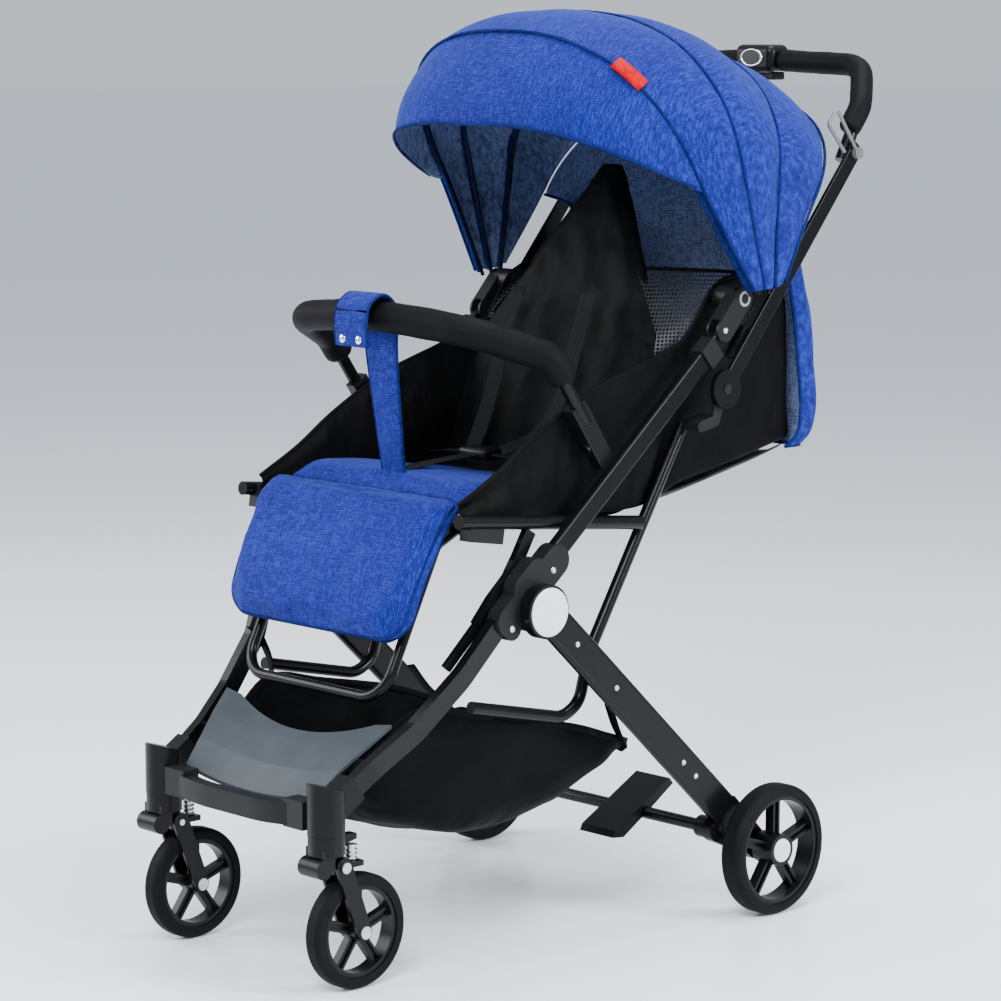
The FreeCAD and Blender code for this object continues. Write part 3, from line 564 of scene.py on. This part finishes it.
def inflate(obj, rise=None):
    """Stuffs a pad: its cloth is simulated under pressure. Only movement outward is kept, up to rise."""
    rise = rise or sizes().pad_rise
    mod = obj.modifiers.new("remesh", "REMESH")
    mod.mode = "VOXEL"
    mod.voxel_size = sizes().pad_voxel
    apply_modifiers(obj)
    before = np.array([v.co for v in obj.data.vertices])
    outward = np.array([v.normal for v in obj.data.vertices])
    scene = bpy.context.scene
    cloth = obj.modifiers.new("cloth", "CLOTH")
    cloth.settings.use_pressure = True
    cloth.settings.uniform_pressure_force = 4.0
    cloth.settings.effector_weights.gravity = 0.0
    cloth.settings.quality = 5
    cloth.settings.mass = 0.25
    cloth.settings.tension_stiffness = 25
    cloth.settings.compression_stiffness = 25
    cloth.settings.bending_stiffness = 0.6
    cloth.point_cache.frame_start = 1
    cloth.point_cache.frame_end = sizes().frames
    for number in range(1, sizes().frames + 1):
        scene.frame_set(number)
    apply_modifiers(obj)
    scene.frame_set(1)
    after = np.array([v.co for v in obj.data.vertices])
    risen = np.clip(np.sum((after - before) * outward, axis=1, keepdims=True), 0.0, rise)
    for v, co in zip(obj.data.vertices, before + outward * risen):
        v.co = co
    return subdivide(obj)


# ------------------------------------------------------------------ canopy shape
# Each bow: its pivot (y, z), its angle in degrees, its crown's distance and its half width.
BOWS = {
    "front": ((0.185, 0.717), 121.3, 0.3554, 0.216),
    "mid": ((0.198, 0.717), 105.1, 0.337, 0.231),
    "rear": ((0.211, 0.717), 84.6, 0.292, 0.226),
    "hem": ((0.222, 0.724), 57.0, 0.264, 0.222),
}
COLUMNS = 72
FOOT_HALF = 0.232
SHOULDER = 0.45
SQUARE = 0.82
# The peak's lower edge on the child's left, from the middle to the bow.
PEAK_EDGE = [
    (0, -0.050, 0.916), (0.060, -0.049, 0.916), (0.110, -0.043, 0.911), (0.150, -0.024, 0.901),
    (0.185, 0.014, 0.882), (0.208, 0.058, 0.862), (0.220, 0.093, 0.847)]
PEAK_FOOT = 0.140
PANEL_STEPS = 10
HOOD_MIDDLE = (0.205, 0.735)


def outward(p):
    """The direction out of the hood at a point."""
    middle = at(0, *HOOD_MIDDLE)
    return Vector((p.x * 0.9, p.y - middle.y, p.z - middle.z)).normalized()


def above_foot(points, pivot, reach):
    """The stretch of an arch that lies at least reach from its pivot (y, z)."""
    foot = at(0, *pivot)
    first = next(i for i, p in enumerate(points) if math.hypot(p.y - foot.y, p.z - foot.z) >= reach)
    return points[first:len(points) - first]


def arch(name, inset=0.0, foot=0.012):
    """Evenly spaced points over one bow, from the child's right foot to the left one."""
    (y, z), angle, crown, half = BOWS[name]
    half -= inset
    crown -= inset
    shoulder = crown * SHOULDER
    spread = FOOT_HALF - inset - half
    low = [
        (-half - spread, foot), (-half - 0.4 * spread, shoulder * 0.55),
        (-half - 0.1 * spread, shoulder * 0.85)]
    top = []
    for k in range(41):
        t = math.pi * k / 40
        c, s = math.cos(t), math.sin(t)
        side = -half * math.copysign(abs(c) ** SQUARE, c)
        top.append((side, shoulder + (crown - shoulder) * s ** SQUARE))
    pairs = low + top + [(-px, h) for px, h in reversed(low)]
    lean = math.radians(180 - angle)
    points = [at(px, y - h * math.cos(lean), z + h * math.sin(lean)) for px, h in pairs]
    return resample(points, COLUMNS)


def resample(points, count):
    """Points evenly spaced along a line, one more than count."""
    co = np.array(points)
    run = np.concatenate([[0], np.cumsum(np.linalg.norm(np.diff(co, axis=0), axis=1))])
    want = np.linspace(0, run[-1], count + 1)
    return [Vector([np.interp(w, run, co[:, k]) for k in range(3)]) for w in want]


def peak_rows():
    """The peak that drops from the front bow: from its lower edge up to the bow."""
    root = above_foot(arch("front"), BOWS["front"][0], PEAK_FOOT)
    half = [at(*p) for p in PEAK_EDGE]
    line = [Vector((-p.x, p.y, p.z)) for p in reversed(half)] + half[1:]
    edge = resample(spline(line, 8), len(root) - 1)
    rows = []
    for k in range(9):
        t = k / 8
        row = []
        for a, b in zip(edge, root):
            p = a.lerp(b, t)
            drop = min(1.0, (b - a).length / 0.09)
            p.y -= drop * (0.012 * math.sin(math.pi * t) ** 0.9 + 0.004 * (1 - t) ** 4)
            row.append(p)
        rows.append(row)
    return rows


def canopy_rows():
    """The hood's rows over its bows, each panel raised a little between two of them."""
    rows = []
    arches = [arch(name) for name in BOWS]
    for k in range(3):
        for s in range(PANEL_STEPS):
            t = s / PANEL_STEPS
            rise = sizes().canopy_puff * math.sin(math.pi * t) ** 0.8
            row = []
            for i in range(COLUMNS + 1):
                a, b = arches[k][i], arches[k + 1][i]
                pa = arches[k - 1][i] if k else a * 2 - b
                pb = arches[k + 2][i] if k < 2 else b * 2 - a
                p = spline([pa, a, b, pb], PANEL_STEPS)[PANEL_STEPS + s]
                open_by = min(1.0, (b - a).length / 0.09)
                row.append(p + outward(p) * rise * open_by)
            rows.append(row)
    rows.append(arches[-1])
    return rows


def blend_canopy(piece):
    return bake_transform(piece)


# ------------------------------------------------------------------ pieces
PAINTED = {
    "frame": (
        "main_tubes front_tubes seat_frame rear_links push_arms handle_tube bumper_tube leg_rest_tube "
        "rear_legs brake_bar canopy_bow_front canopy_bow_mid canopy_bow_rear"),
    "bracket": "cross_castings upper_brackets fold_tabs frame_sleeves",
    "disc": "cross_discs",
    "plastic": (
        "caster_heads front_crossbar bumper_mounts rear_feet brake_pedal handle_housing fold_trigger "
        "bumper_buttons left_swivel_block right_swivel_block left_caster_fork right_caster_fork"),
    "rim": "left_front_rim right_front_rim left_rear_rim right_rear_rim",
    "tyre": "left_front_tyre right_front_tyre left_rear_tyre right_rear_tyre",
    "steel": "frame_rivets leg_rivets release_rod left_caster_spring right_caster_spring "
             "left_fork_bolts right_fork_bolts",
    "cap": "rear_axles",
    "hook": "latch_hook",
    "footrest": "footrest_plate",
}


class STROLLER_OT_hard_parts(bpy.types.Operator):
    """Gives every rigid part of the frame its finish"""

    bl_idname = "stroller.hard_parts"
    bl_label = "Finish the hard parts"

    def execute(self, context):
        for key, names in PAINTED.items():
            for name in names.split():
                part = frame["nodes"][name]
                part.data.materials.clear()
                part.data.materials.append(MATERIALS[key])
        return {"FINISHED"}


class STROLLER_OT_canopy(bpy.types.Operator):
    """Makes the hood: one curved sheet with its lining, piping, bow sleeves and blank tag"""

    bl_idname = "stroller.canopy"
    bl_label = "Canopy"

    def execute(self, context):
        rows, peak = canopy_rows(), peak_rows()
        panels = [grid("panel", rows, "canopy", "canopy"), grid("peak", peak, "canopy", "canopy")]
        hood = joined("canopy_hood", panels)
        # The hood's inner side takes the lining, whose pale colour is painted backlight through the
        # cloth.
        hood.data.materials.append(MATERIALS["lining"])
        weld(hood)
        crumple(hood, 0.0016, 0.045)
        hood = thicken(hood, sizes().cloth, -1.0, inner=1)
        subdivide(hood)
        blend_canopy(hood)
        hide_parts("canopy_front", "canopy_rear")
        seams = []
        seam_rows = (peak[0], rows[0], rows[PANEL_STEPS], rows[2 * PANEL_STEPS], rows[-1])
        for k, row in enumerate(seam_rows):
            lifted = [p + outward(p) * 0.0012 for p in row]
            seams.append(sweep(f"seam_{k}", lifted, round_section(sizes().piping), "piping", "canopy"))
        piping = joined("canopy_piping", seams)
        blend_canopy(piping)
        for name in ("front", "mid", "rear"):
            line = arch(name, 0.0072, 0.012)
            flat = strap_section(0.0032, 0.0038)
            sleeve = sweep("bow_sleeve_" + name, line, flat, "piping", "lining")
            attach(sleeve, name + "_bow")
        self.tag(rows[0])
        return {"FINISHED"}

    def tag(self, row):
        """A small blank tag sewn in the front seam, on the child's left."""
        nearest = min(range(len(row)), key=lambda i: abs(row[i].x - 0.176) + (row[i].z < 0.9))
        p = row[nearest]
        along = (row[nearest + 1] - row[nearest - 1]).normalized()
        out = outward(p)
        back = along.cross(out).normalized()
        if back.y > 0:
            back = -back
        verts, faces = [], []
        for k in range(7):
            curl = 0.0015 * math.sin(k / 6 * math.pi)
            middle = p + out * (0.0030 + curl) + along * (0.021 * (k / 6 - 0.5) * 2)
            for s in (-1, 1):
                verts.append(middle + back * (0.009 * s - 0.002))
        for k in range(6):
            faces.append((2 * k, 2 * k + 1, 2 * k + 3, 2 * k + 2))
        tag = new_mesh("canopy_tag", verts, faces, "tag", "canopy")
        thicken(tag, 0.0010, 1.0)
        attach(tag, "front_bow")


def profile(points):
    """A curve of points (y, z) that gives the point and its upward normal at any share."""
    line = resample(spline([at(0, y, z) for y, z in points], 12), 60)

    def lift(v):
        f = v * 60
        k = min(59, int(f))
        p = line[k].lerp(line[k + 1], f - k)
        d = (line[min(60, k + 2)] - line[max(0, k - 1)]).normalized()
        return (p.y - DATUM, p.z), (-d.z, d.y)
    return lift


class STROLLER_OT_seat(bpy.types.Operator):
    """Makes the seat cushion, the backrest and the padded calf rest"""

    bl_idname = "stroller.seat"
    bl_label = "Seat, backrest and calf rest"

    def execute(self, context):
        self.cushion()
        self.backrest()
        self.calf_rest()
        return {"FINISHED"}

    def cushion(self):
        lift = profile([(0.026, 0.494), (-0.05, 0.503), (-0.12, 0.514), (-0.165, 0.515), (-0.192, 0.509)])
        pad = pillow("seat_pad", lambda v: 0.158, lift, 0.022, "blue_seat", "seat", 6.0)
        inflate(pad, 0.006)
        crumple(pad, 0.0015, 0.05, 3.0)
        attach(pad, "chassis")
        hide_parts("seat_cushion")

    def backrest(self):
        dy, dz = math.cos(BACK_TILT), math.sin(BACK_TILT)

        def lift(v):
            s = BACK_START + BACK_RUN * v
            sag = 0.007 + 0.006 * math.sin(math.pi * v)
            return (BACK_FOOT[0] + dy * s + dz * sag, BACK_FOOT[1] + dz * s - dy * sag), (-dz, dy)

        def outline(v):
            s = BACK_START + BACK_RUN * v
            return 0.150 if s < 0.19 else max(0.012, 0.150 - 0.138 * ((s - 0.19) / 0.22))
        pad = pillow("back_pad", outline, lift, 0.016, "black", "lining", 7.0)
        inflate(pad, 0.005)
        crumple(pad, 0.0035, 0.07, 5.0)
        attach(pad, "backrest")
        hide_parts("backrest")

    def calf_rest(self):
        lift = profile([
            (-0.203, 0.514), (-0.222, 0.499), (-0.245, 0.462), (-0.266, 0.420), (-0.286, 0.366)])

        def outline(v):
            drop = max(0.0, (v - 0.80) / 0.20)
            return 0.158 - 0.006 * v - 0.050 * (1 - math.sqrt(max(0.0, 1 - drop * drop)))
        pad = pillow("calf_pad", outline, lift, 0.024, "blue_seat", "seat", 6.0, 34, 34)
        inflate(pad)
        crumple(pad, 0.0012, 0.04, 1.0)
        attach(pad, "leg_rest")
        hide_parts("leg_rest_pad")
        edges = []
        for depth in (0.0045, -0.0045):
            rim = []
            for k in range(31):
                v = 0.06 + 0.925 * k / 30
                (y, z), (ny, nz) = lift(v)
                rim.append(at(outline(v) - 0.0050, y + ny * depth, z + nz * depth))
            low = [Vector((rim[-1].x * s, rim[-1].y, rim[-1].z)) for s in (0.8, 0.4)]
            line = rim + low + [Vector((-p.x, p.y, p.z)) for p in reversed(rim + low)]
            cord = round_section(sizes().piping)
            edges.append(sweep(f"edge_{depth}", resample(spline(line, 3), 140), cord, "piping", "seat"))
        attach(joined("calf_piping", edges), "leg_rest")


class STROLLER_OT_seat_cloth(bpy.types.Operator):
    """Makes the black side panels, the net windows and the cloth behind the seat"""

    bl_idname = "stroller.seat_cloth"
    bl_label = "Seat sides and back"

    def execute(self, context):
        for name, s in (("left", 1), ("right", -1)):
            self.side(name, s)
            self.window(name, s)
        self.back()
        return {"FINISHED"}

    def side(self, name, s):
        top = [(-0.222, 0.515), (-0.164, 0.545), (-0.110, 0.580), (-0.030, 0.620), (0.060, 0.648),
               (0.130, 0.672), (0.180, 0.730), (0.236, 0.742), (0.300, 0.742)]
        low = [(-0.222, 0.498), (-0.160, 0.490), (-0.100, 0.488), (-0.030, 0.486), (0.060, 0.486),
               (0.120, 0.506), (0.190, 0.520), (0.250, 0.531), (0.312, 0.545)]
        upper = resample(spline([at(0.1675, y, z) for y, z in top], 6), 44)
        lower = resample(spline([at(0.1675, y, z) for y, z in low], 6), 44)
        rows = []
        for k in range(17):
            t = k / 16
            row = []
            for i, (a, b) in enumerate(zip(upper, lower)):
                p = a.lerp(b, t)
                share = i / 44
                slack = 0.006 * math.sin(math.pi * t) * math.sin(math.pi * share)
                fold = 0.0030 * math.sin(9 * share + 5 * t) * math.sin(math.pi * t)
                p.x -= slack + fold
                row.append(Vector((p.x * s, p.y, p.z)))
            rows.append(row)
        sheet = grid("side_cloth_" + name, rows, "black", "lining")
        crumple(sheet, 0.0022, 0.05, 2.0 + s)
        thicken(sheet, sizes().cloth, 0.0)
        subdivide(sheet)
        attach(sheet, "chassis")
        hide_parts("side_panels")
        hem = sweep("side_hem_" + name, [Vector((p.x * s, p.y, p.z)) for p in upper],
                    round_section(0.0023), "black", "lining")
        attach(hem, "chassis")

    def window(self, name, s):
        """Net between the backrest's edge and the hinge, under the hood."""
        def on_back(share, half):
            r = BACK_START + BACK_RUN * share
            y = BACK_FOOT[0] + math.cos(BACK_TILT) * r + 0.004
            return (half, y, BACK_FOOT[1] + math.sin(BACK_TILT) * r)
        inner = [on_back(*p) for p in ((0.36, 0.151), (0.46, 0.147), (0.56, 0.118), (0.66, 0.086))]
        outer = [
            (0.164, 0.130, 0.672), (0.166, 0.160, 0.706), (0.168, 0.205, 0.734), (0.172, 0.243, 0.742)]
        a_line = resample([at(*p) for p in inner], 14)
        b_line = resample([at(*p) for p in outer], 14)
        rows = []
        for a, b in zip(a_line, b_line):
            row = []
            for k in range(15):
                t = k / 14
                p = a.lerp(b, t)
                p.y += 0.010 * math.sin(math.pi * t)
                row.append(Vector((p.x * s, p.y, p.z)))
            rows.append(row)
        net = grid("net_window_" + name, rows, "mesh", "lining")
        self.blend_window(net, s)
        edge = sweep("net_binding_" + name, rows[-1], round_section(0.0022), "black", "lining")
        self.blend_window(edge, s)

    def blend_window(self, piece, s):
        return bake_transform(piece)

    def blend_drape(self, piece):
        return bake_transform(piece)

    def back(self):
        """The blue drape behind the seat and the black floor under the backrest."""
        columns = 40
        # from top to bottom: place along Y, height, half width
        levels = [
            (0.312, 0.802, 0.168), (0.322, 0.760, 0.176), (0.332, 0.700, 0.181), (0.338, 0.640, 0.184),
            (0.342, 0.590, 0.186), (0.338, 0.552, 0.186), (0.318, 0.536, 0.184)]
        top = resample(above_foot(arch("hem", 0.004), BOWS["hem"][0], 0.11), columns)
        behind = at(0, 0.312, 0).y
        middle = [Vector((p.x * 0.90, 0.55 * p.y + 0.45 * behind, 0.5 * (p.z + 0.802))) for p in top]
        rows = [top, middle]
        for y, z, half in levels:
            row = []
            for i in range(columns + 1):
                u = 2 * i / columns - 1
                turn = max(0.0, (abs(u) - 0.86) / 0.14)
                x = math.copysign(half * min(1.0, abs(u) / 0.86), u)
                wrap = -0.030 * turn
                row.append((x, y + wrap + 0.004 * math.cos(7 * u + z * 20) * (1 - turn), z))
            rows.append([at(*p) for p in row])
        dense = []
        for column in zip(*rows):
            dense.append(resample(spline(column, 6), 44))
        rows = [list(r) for r in zip(*dense)]
        # The drape's inner side takes the lining too, with its painted backlight through the cloth.
        drape = grid("rear_drape", rows, ["canopy", "lining"], "canopy")
        crumple(drape, 0.0028, 0.06, 7.0)
        thicken(drape, sizes().cloth, 0.0, inner=1)
        subdivide(drape)
        self.blend_drape(drape)
        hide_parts("seat_boot")
        hem = [rows[-1], [r[0] for r in rows], [r[-1] for r in rows]]
        cords = [sweep(f"drape_{k}", line, round_section(sizes().piping), "piping", "canopy")
                 for k, line in enumerate(hem)]
        self.blend_drape(joined("drape_piping", cords))
        floor = []
        for y, z in (
                (0.040, 0.487), (0.062, 0.494), (0.118, 0.500), (0.200, 0.516), (0.260, 0.528),
                (0.316, 0.541)):
            row = []
            for i in range(25):
                u = 2 * i / 24 - 1
                row.append(at(0.166 * u, y, z - 0.018 * (1 - u ** 8)))
            floor.append(row)
        under = grid("seat_floor", floor, "black", "lining")
        crumple(under, 0.0022, 0.05, 8.0)
        thicken(under, sizes().cloth, 0.0)
        subdivide(under)
        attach(under, "chassis")


class STROLLER_OT_straps(bpy.types.Operator):
    """Makes the strap round the front bar, its snaps, and the harness with its buckle"""

    bl_idname = "stroller.straps"
    bl_label = "Straps and buckle"

    def execute(self, context):
        self.crotch_strap()
        self.harness()
        return {"FINISHED"}

    def crotch_strap(self):
        # over the bar, down behind it and on to the seat
        path = [
            (-0.2265, 0.676), (-0.2285, 0.700), (-0.2235, 0.722), (-0.204, 0.7335), (-0.1865, 0.722),
            (-0.1830, 0.700), (-0.1835, 0.676), (-0.1800, 0.640), (-0.1740, 0.595), (-0.1690, 0.555),
            (-0.1650, 0.527)]
        runs = 90
        line = resample(spline([at(0, y, z) for y, z in path], 10), runs)

        def half(share):
            return 0.0262 - 0.0085 * max(0.0, (share - 0.45) / 0.55)

        def section(share, angle):
            return strap_section(half(share), 0.0019)(share, angle)
        strap = sweep("crotch_strap_cloth", line, section, "canopy", "canopy", up=Vector((0.0, 0.3, 1)))
        self.stretch(strap)
        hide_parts("crotch_strap")
        edges = []
        for s in (-1, 1):
            run = [p + Vector((s * half(k / runs), 0, 0)) for k, p in enumerate(line)]
            edges.append(sweep(f"strap_edge_{s}", run, round_section(0.0017), "piping", "canopy"))
        self.stretch(joined("strap_piping", edges))
        snaps = []
        for s in (-1, 1):
            bpy.ops.mesh.primitive_uv_sphere_add(segments=24, ring_count=12, radius=0.0050)
            ball = bpy.context.object
            ball.scale = (1, 0.38, 1)
            ball.location = at(s * 0.0135, -0.2290, 0.684)
            bpy.ops.object.transform_apply(location=True, scale=True)
            ball.data.materials.append(MATERIALS["chrome"])
            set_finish(ball, "steel")
            snaps.append(ball)
        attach(joined("strap_snaps", snaps), "bumper")

    def stretch(self, piece):
        """Bakes the piece's placing into its points."""
        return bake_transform(piece)

    def harness(self):
        lap = [(0.026, -0.030, 0.540), (0.070, -0.018, 0.536), (0.115, 0.004, 0.527),
               (0.146, 0.020, 0.517)]
        shoulder = [(0.024, -0.022, 0.543), (0.046, 0.010, 0.560), (0.058, 0.040, 0.600),
                    (0.060, 0.062, 0.662), (0.058, 0.086, 0.722)]
        crotch = [(0, -0.150, 0.532), (0, -0.110, 0.536), (0, -0.070, 0.538), (0, -0.046, 0.539)]
        level, leaning = Vector((0, 0, 1)), Vector((0, -0.6, 0.8))
        laps = [self.web("lap", lap, s, level) for s in (1, -1)] + [self.web("crotch", crotch, 1, level)]
        shoulders = [self.web("shoulder", shoulder, s, leaning) for s in (1, -1)]
        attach(joined("harness_lap_webbing", laps), "chassis")
        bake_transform(joined("harness_shoulder_webbing", shoulders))
        bpy.ops.mesh.primitive_cube_add(size=1)
        buckle = bpy.context.object
        buckle.name = "harness_buckle"
        buckle.scale = (0.046, 0.032, 0.013)
        buckle.location = at(0, -0.031, 0.540)
        bpy.ops.object.transform_apply(location=True, scale=True)
        bevel = buckle.modifiers.new("round", "BEVEL")
        bevel.width = 0.004
        bevel.segments = 3
        apply_modifiers(buckle)
        buckle.data.materials.append(MATERIALS["plastic"])
        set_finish(buckle, "plastic")
        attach(buckle, "chassis")
        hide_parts("harness")

    def web(self, name, points, s, up):
        """One run of webbing, on the child's left where s is 1."""
        line = resample(spline([at(s * x, y, z) for x, y, z in points], 8), 26)
        return sweep(name, line, strap_section(0.0115, 0.0012), "webbing", "webbing", up=up)


class STROLLER_OT_basket(bpy.types.Operator):
    """Makes the sagging cloth basket under the seat, with its hem and the ties to the frame"""

    bl_idname = "stroller.basket"
    bl_label = "Basket"

    def execute(self, context):
        # from front to back: place along Y, height of the hem, height of the bottom, half width
        sections = [
            (-0.330, 0.226, 0.206, 0.108), (-0.290, 0.262, 0.170, 0.120), (-0.236, 0.287, 0.145, 0.132),
            (-0.150, 0.268, 0.127, 0.148), (-0.040, 0.244, 0.139, 0.156), (0.020, 0.224, 0.166, 0.155),
            (0.056, 0.212, 0.192, 0.150)]
        lines = []
        for y, top, low, half in sections:
            wall = [(1, top), (0.965, low + (top - low) * 0.5), (0.80, low + 0.014), (0.42, low + 0.003)]
            shape = [(-half * w, z) for w, z in wall] + [(0, low)]
            shape += [(half * w, z) for w, z in reversed(wall)]
            lines.append(resample(spline([at(x, y, z) for x, z in shape], 8), 48))
        dense = [resample(spline(column, 8), 48) for column in zip(*lines)]
        rows = [list(r) for r in zip(*dense)]
        shell = grid("basket_cloth", rows, "basket", "basket")
        crumple(shell, 0.0040, 0.055, 4.0)
        thicken(shell, sizes().cloth, -1.0)
        subdivide(shell)
        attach(shell, "chassis")
        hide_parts("basket")
        rim = rows[0] + [r[-1] for r in rows[1:]]
        rim += list(reversed(rows[-1][:-1])) + [r[0] for r in reversed(rows[1:-1])]
        hem = sweep("basket_hem", rim, strap_section(0.0026, 0.0040), "black", "basket", closed=True)
        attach(hem, "chassis")
        ties = (
            ((0.108, -0.330, 0.226), (0.128, -0.333, 0.240), (0.144, -0.333, 0.2395)),
            ((0.150, 0.052, 0.210), (0.160, 0.030, 0.232), (0.168, 0.010, 0.262)),
            ((0.133, -0.236, 0.287), (0.150, -0.226, 0.305), (0.170, -0.222, 0.326)))
        straps = [self.tie(points, s) for s in (-1, 1) for points in ties]
        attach(joined("basket_ties", straps), "chassis")
        return {"FINISHED"}

    def tie(self, points, s):
        """One strap from the hem to the frame, on the child's left where s is 1."""
        line = resample(spline([at(s * x, y, z) for x, y, z in points], 6), 14)
        flat = strap_section(0.007, 0.0011)
        return sweep("tie", line, flat, "black", "basket", up=Vector((0, 1, 0.2)))


def rounded(points, radius, per=8):
    """Points along straight runs whose corners are rounded."""
    pts = [Vector(p) for p in points]
    radii = radius if isinstance(radius, list) else [radius] * (len(pts) - 2)
    out = [pts[0]]
    for k in range(1, len(pts) - 1):
        a, b, c = pts[k - 1], pts[k], pts[k + 1]
        u, w = (a - b), (c - b)
        turn = math.pi - u.angle(w)
        back = min(radii[k - 1] * math.tan(turn / 2), 0.45 * u.length, 0.45 * w.length)
        p, q = b + u.normalized() * back, b + w.normalized() * back
        for i in range(per + 1):
            t = i / per
            out.append(p * (1 - t) ** 2 + b * 2 * t * (1 - t) + q * t * t)
    return out + [pts[-1]]


class STROLLER_OT_foams(bpy.types.Operator):
    """Makes the foam on the front bar and on the handle"""

    bl_idname = "stroller.foams"
    bl_label = "Foam grips"

    def execute(self, context):
        half = [(0.186, -0.083, 0.6433), (0.186, -0.100, 0.668), (0.142, -0.178, 0.698)]
        other = [(-x, y, z) for x, y, z in reversed(half)]
        run = [at(*p) for p in half + [(0, -0.204, 0.712)] + other]
        line = resample(rounded(run, [0.06, 0.06, 0.35, 0.06, 0.06]), 150)
        foam = sweep("bumper_foam_grip", line, round_section(sizes().foam, 0.02), "foam", "foam")
        crumple(foam, 0.0006, 0.03, 6.0)
        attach(foam, "bumper")
        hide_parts("bumper_foam")
        grips = []
        for s in (-1, 1):
            path = ((0.199, 0.376, 0.905), (0.199, 0.398, 0.933), (0.161, 0.444, 0.980),
                    (0.032, 0.4456, 0.9848))
            line = resample(rounded([at(s * x, y, z) for x, y, z in path], 0.046), 80)
            grips.append(sweep(f"grip_{s}", line, round_section(sizes().grip, 0.03), "foam", "foam"))
        grip = joined("handle_grips", grips)
        crumple(grip, 0.0005, 0.03, 9.0)
        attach(grip, "push_frame")
        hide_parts("handle_foams")
        return {"FINISHED"}


class STROLLER_OT_badge(bpy.types.Operator):
    """Makes the blank oval plate on the handle's housing, with its silver rim"""

    bl_idname = "stroller.badge"
    bl_label = "Blank badge"

    def execute(self, context):
        low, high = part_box("handle_housing")
        y = low[1] - 0.0002
        z = 0.5 * (low[2] + high[2]) + 0.002
        wide, tall, count = 0.0175, 0.0105, 40
        turns = [2 * math.pi * k / count for k in range(count)]
        rings = [
            [Vector((wide * grow * math.cos(t), y + depth, z + tall * grow * math.sin(t))) for t in turns]
            for grow, depth in ((1.0, 0.0), (1.0, -0.0018), (0.90, -0.0022), (0.86, -0.0012))]
        rim = grid("badge_rim", rings, "chrome", "steel", closed=True)
        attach(rim, "push_frame")
        plate = new_mesh("badge_plate", rings[-1], [tuple(range(count))], "badge", "plastic")
        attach(plate, "push_frame")
        return {"FINISHED"}


class STROLLER_OT_stage(bpy.types.Operator):
    """Sets up the floor, the lights and the camera"""

    bl_idname = "stroller.stage"
    bl_label = "Stage"

    def execute(self, context):
        mat, tree, bsdf = shader("stage_floor")
        bsdf.inputs["Base Color"].default_value = (0.86, 0.90, 0.95, 1)
        bsdf.inputs["Roughness"].default_value = 0.24
        corners = ((-1, -1), (1, -1), (1, 1), (-1, 1))
        verts = [(x * FLOOR_REACH, y * FLOOR_REACH, -FLOOR_DROP) for x, y in corners]
        data = bpy.data.meshes.new("floor")
        data.from_pydata(verts, [], [(0, 1, 2, 3)])
        data.materials.append(mat)
        floor = bpy.data.objects.new("floor", data)
        bpy.context.collection.objects.link(floor)
        # name, place, target, width in metres, power in watts
        lights = (
            ("key_light", (1.6, -2.6, 2.9), (0, 0, 0.55), 1.7, 215),
            ("fill_light", (-2.6, -1.9, 1.7), (0, 0, 0.45), 2.0, 120),
            ("side_light", (2.7, 0.9, 1.5), (0, 0, 0.5), 1.1, 120),
            ("top_light", (0.2, 0.6, 3.2), (0, 0, 0.5), 1.8, 120),
        )
        for name, where, target, size, power in lights:
            lamp = bpy.data.lights.new(name, "AREA")
            lamp.shape = "SQUARE"
            lamp.size = size
            lamp.energy = power
            obj = bpy.data.objects.new(name, lamp)
            obj.location = where
            aim = Vector(target) - Vector(where)
            obj.rotation_euler = aim.to_track_quat("-Z", "Y").to_euler()
            bpy.context.collection.objects.link(obj)
        world = bpy.data.worlds.new("studio")
        world.use_nodes = True
        sky = world.node_tree.nodes["Background"]
        sky.inputs["Color"].default_value = (0.84, 0.91, 1.0, 1)
        sky.inputs["Strength"].default_value = 0.80
        context.scene.world = world
        self.camera(context)
        return {"FINISHED"}

    def camera(self, context):
        level = math.cos(CAMERA_ABOVE)
        back = Vector((
            math.sin(CAMERA_AROUND) * level, -math.cos(CAMERA_AROUND) * level, math.sin(CAMERA_ABOVE)))
        lens = bpy.data.cameras.new("camera")
        lens.lens = CAMERA_LENS
        lens.sensor_width = CAMERA_SENSOR
        obj = bpy.data.objects.new("camera", lens)
        obj.location = Vector(CAMERA_TARGET) + back * CAMERA_AWAY
        obj.rotation_euler = (-back).to_track_quat("-Z", "Y").to_euler()
        bpy.context.collection.objects.link(obj)
        context.scene.camera = obj


OPERATORS = (
    STROLLER_OT_hard_parts,
    STROLLER_OT_canopy,
    STROLLER_OT_seat,
    STROLLER_OT_seat_cloth,
    STROLLER_OT_foams,
    STROLLER_OT_straps,
    STROLLER_OT_basket,
    STROLLER_OT_badge,
    STROLLER_OT_stage,
)


class STROLLER_PT_panel(bpy.types.Panel):
    """Lists the stroller's sizes, colours and pieces"""

    bl_label = "Stroller"
    bl_idname = "STROLLER_PT_panel"
    bl_space_type = "VIEW_3D"
    bl_region_type = "UI"
    bl_category = "Stroller"

    def draw(self, context):
        for group in (context.scene.stroller_sizes, context.scene.stroller_colours):
            box = self.layout.box()
            for key in group.bl_rna.properties.keys():
                if key not in ("rna_type", "name"):
                    box.prop(group, key)
        for operator in OPERATORS:
            self.layout.operator(operator.bl_idname)


CLASSES = (StrollerSizes, StrollerColours, *OPERATORS, STROLLER_PT_panel)


def register():
    for cls in CLASSES:
        bpy.utils.register_class(cls)
    bpy.types.Scene.stroller_sizes = PointerProperty(type=StrollerSizes)
    bpy.types.Scene.stroller_colours = PointerProperty(type=StrollerColours)


def unregister():
    del bpy.types.Scene.stroller_colours
    del bpy.types.Scene.stroller_sizes
    for cls in reversed(CLASSES):
        bpy.utils.unregister_class(cls)


def main():
    register()
    make_materials()
    for operator in OPERATORS:
        group, name = operator.bl_idname.split(".")
        getattr(getattr(bpy.ops, group), name)()


if __name__ == "__main__":
    main()
